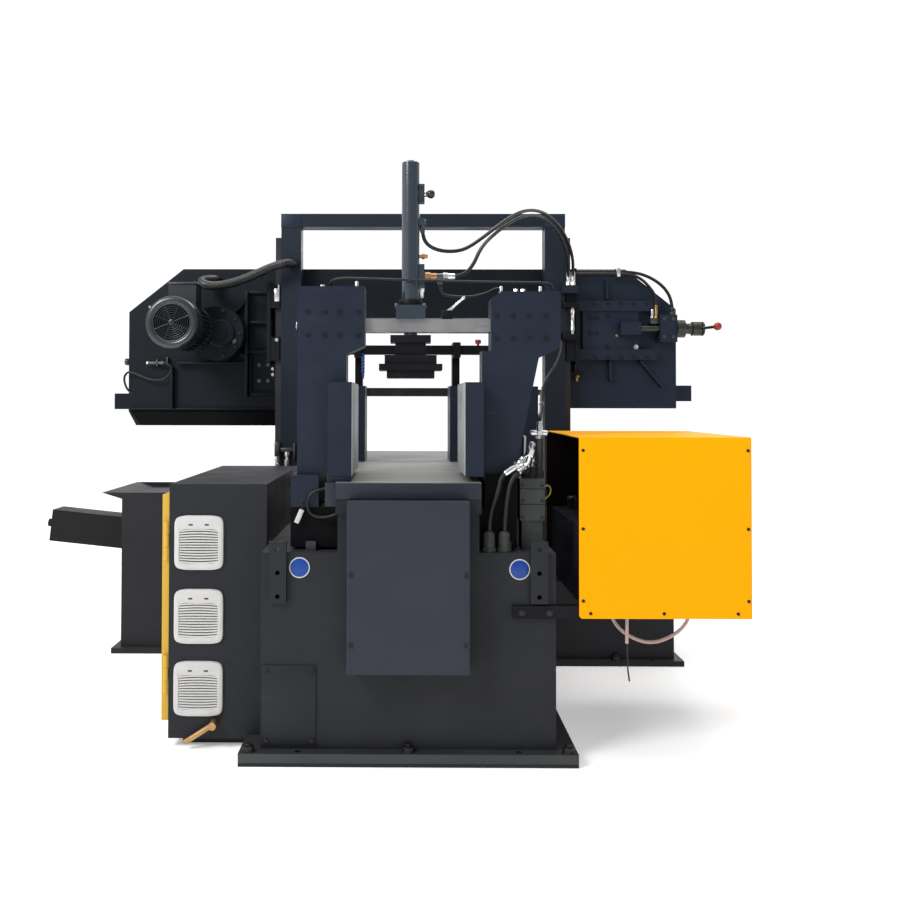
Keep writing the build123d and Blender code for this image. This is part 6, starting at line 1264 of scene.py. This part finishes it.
def makeTankPieces(settings):
    turnedPiece("fillerCap", "blackPlastic", "base", toTop,
                ((0, 29), (4, 31), (18, 31), (24, 27), (26, 12), (26, 0)),
                [settings["neck"]], 40)
    turnedPiece("tubeClamps", "brightSteel", "base", toFloor,
                ((0, 8.2), (4, 8.2), (5, 7.2), (9, 7.2), (10, 8.2), (14, 8.2), (14, 5.4)),
                [(0.566, -1.183, 0.422), (0.793, -1.183, 0.422)], 28)
    turnedPiece("drainSleeve", "clearTube", "base", toFloor,
                ((0, 4.6), (66, 4.6), (70, 5), (74, 5), (75, 4.4), (75, 0)),
                [(0.601, -1.239, 0.397)], 24)


makeTankPieces(tankSettings)
print("hydraulic pieces ready")

# Throat: segmented coolant hose on the left guide, knob on the bar
coolantSettings = {"start": (-0.1745, -0.097, 1.176), "end": (-0.1745, -0.097, 1.098), "segments": 6}


def makeCoolant(settings):
    start, end = Vector(settings["start"]), Vector(settings["end"])
    form = bmesh.new()
    step = (end - start) / settings["segments"]
    size = step.length * perMetre
    for index in range(settings["segments"]):
        turned(form, start + step * index, step,
               ((0, 5), (0.12 * size, 6.4), (0.45 * size, 6.8), (0.7 * size, 5.6), (0.98 * size, 4.6)), 20)
    turned(form, end, step, ((0, 5), (6, 4.8), (22, 2.6), (22, 0)), 20)
    addPiece("coolantHose", form, "blueHose", "left_guide_arm")


makeCoolant(coolantSettings)
turnedPiece("guideKnob", "redCap", "bow", toTop,
            ((0, 5), (8, 5), (9, 11), (18, 12.5), (24, 11), (26, 6), (26, 0)),
            [(0.281, -0.07, 1.2085)], 24)
print("throat ready")

# White connector on a short lead from the cable beside the cover
connectorSettings = {"middle": (-0.3042, -1.215, 0.6657), "half": (0.0068, 0.0055, 0.02),
                     "lean": math.radians(23)}


def makeConnector(settings):
    form = bmesh.new()
    middle, half = Vector(settings["middle"]), Vector(settings["half"])
    turn = Matrix.Rotation(settings["lean"], 4, "Y")
    slab(form, middle - half, middle + half, 0.0014, 3, turn)
    for along in (-0.0125, 0.0125):
        place = middle + turn @ Vector((0, -half.y, along))
        turned(form, place, toFront, ((0, 4.2), (1.2, 4.2), (1.6, 3.6), (1.6, 2), (0.6, 0)), 20)
    connector = addPiece("jawConnector", form, "whitePlastic", "base")
    tip = middle + turn @ Vector((0, 0, half.z))
    makeCord("jawLead", {"radius": 0.0016, "finish": "hoseRubber", "body": "base", "stiffness": "medium",
                         "lay": "loose", "farEnd": "connector", "withPieces": [connector],
                         "route": ((-0.2809, -1.213, 0.7033), (-0.288, -1.215, 0.714),
                                   (-0.2985, -1.2155, 0.708), tuple(tip + turn @ Vector((0, 0, 0.01))),
                                   tuple(tip))})


makeConnector(connectorSettings)

# Glands where the valve hoses enter the base
turnedPiece("hoseGlands", "valveGrey", "base", toTop,
            ((0, 19, 6), (10, 19, 6), (12, 16.5), (34, 16.5), (36, 15, 6), (50, 15, 6), (56, 11), (56, 6.6)),
            [(0.224, -1.224, 0.57), (0.266, -1.222, 0.57)], 30)

# Plates: over the table's front lip, beside it, on the front panel, along the flange and on the cable box
slabPiece("lipPlate", "coverPaint", "base", [((-0.2, -1.2645, 0.718), (0.2, -1.262, 0.762))], 0.0008)
slabPiece("tableCheek", "coverPaint", "base", [((-0.229, -1.26, 0.6976), (-0.2, -1.254, 0.7625))], 0.001)
slabPiece("panelFace", "framePaint", "base", [((-0.3998, -1.2562, 0.0472), (-0.2532, -1.2545, 0.2618))],
          0.0008)
slabPiece("flangeEdge", "flangePaint", "base", [((-0.459, -1.2912, 0.01), (0.459, -1.2895, 0.035))], 0.0006)
turnedPiece("cableTie", "whitePlastic", "base", (0.016, 0.11, 0.018),
            ((-3.5, 6.2), (-3.2, 7.8), (3.2, 7.8), (3.5, 6.2)), [(0.424, -0.84, 0.9782)], 24)
slabPiece("cableBoxLid", "switchGrey", "base", [((0.542, -0.264, 1.221), (0.576, -0.2615, 1.259))], 0.001)
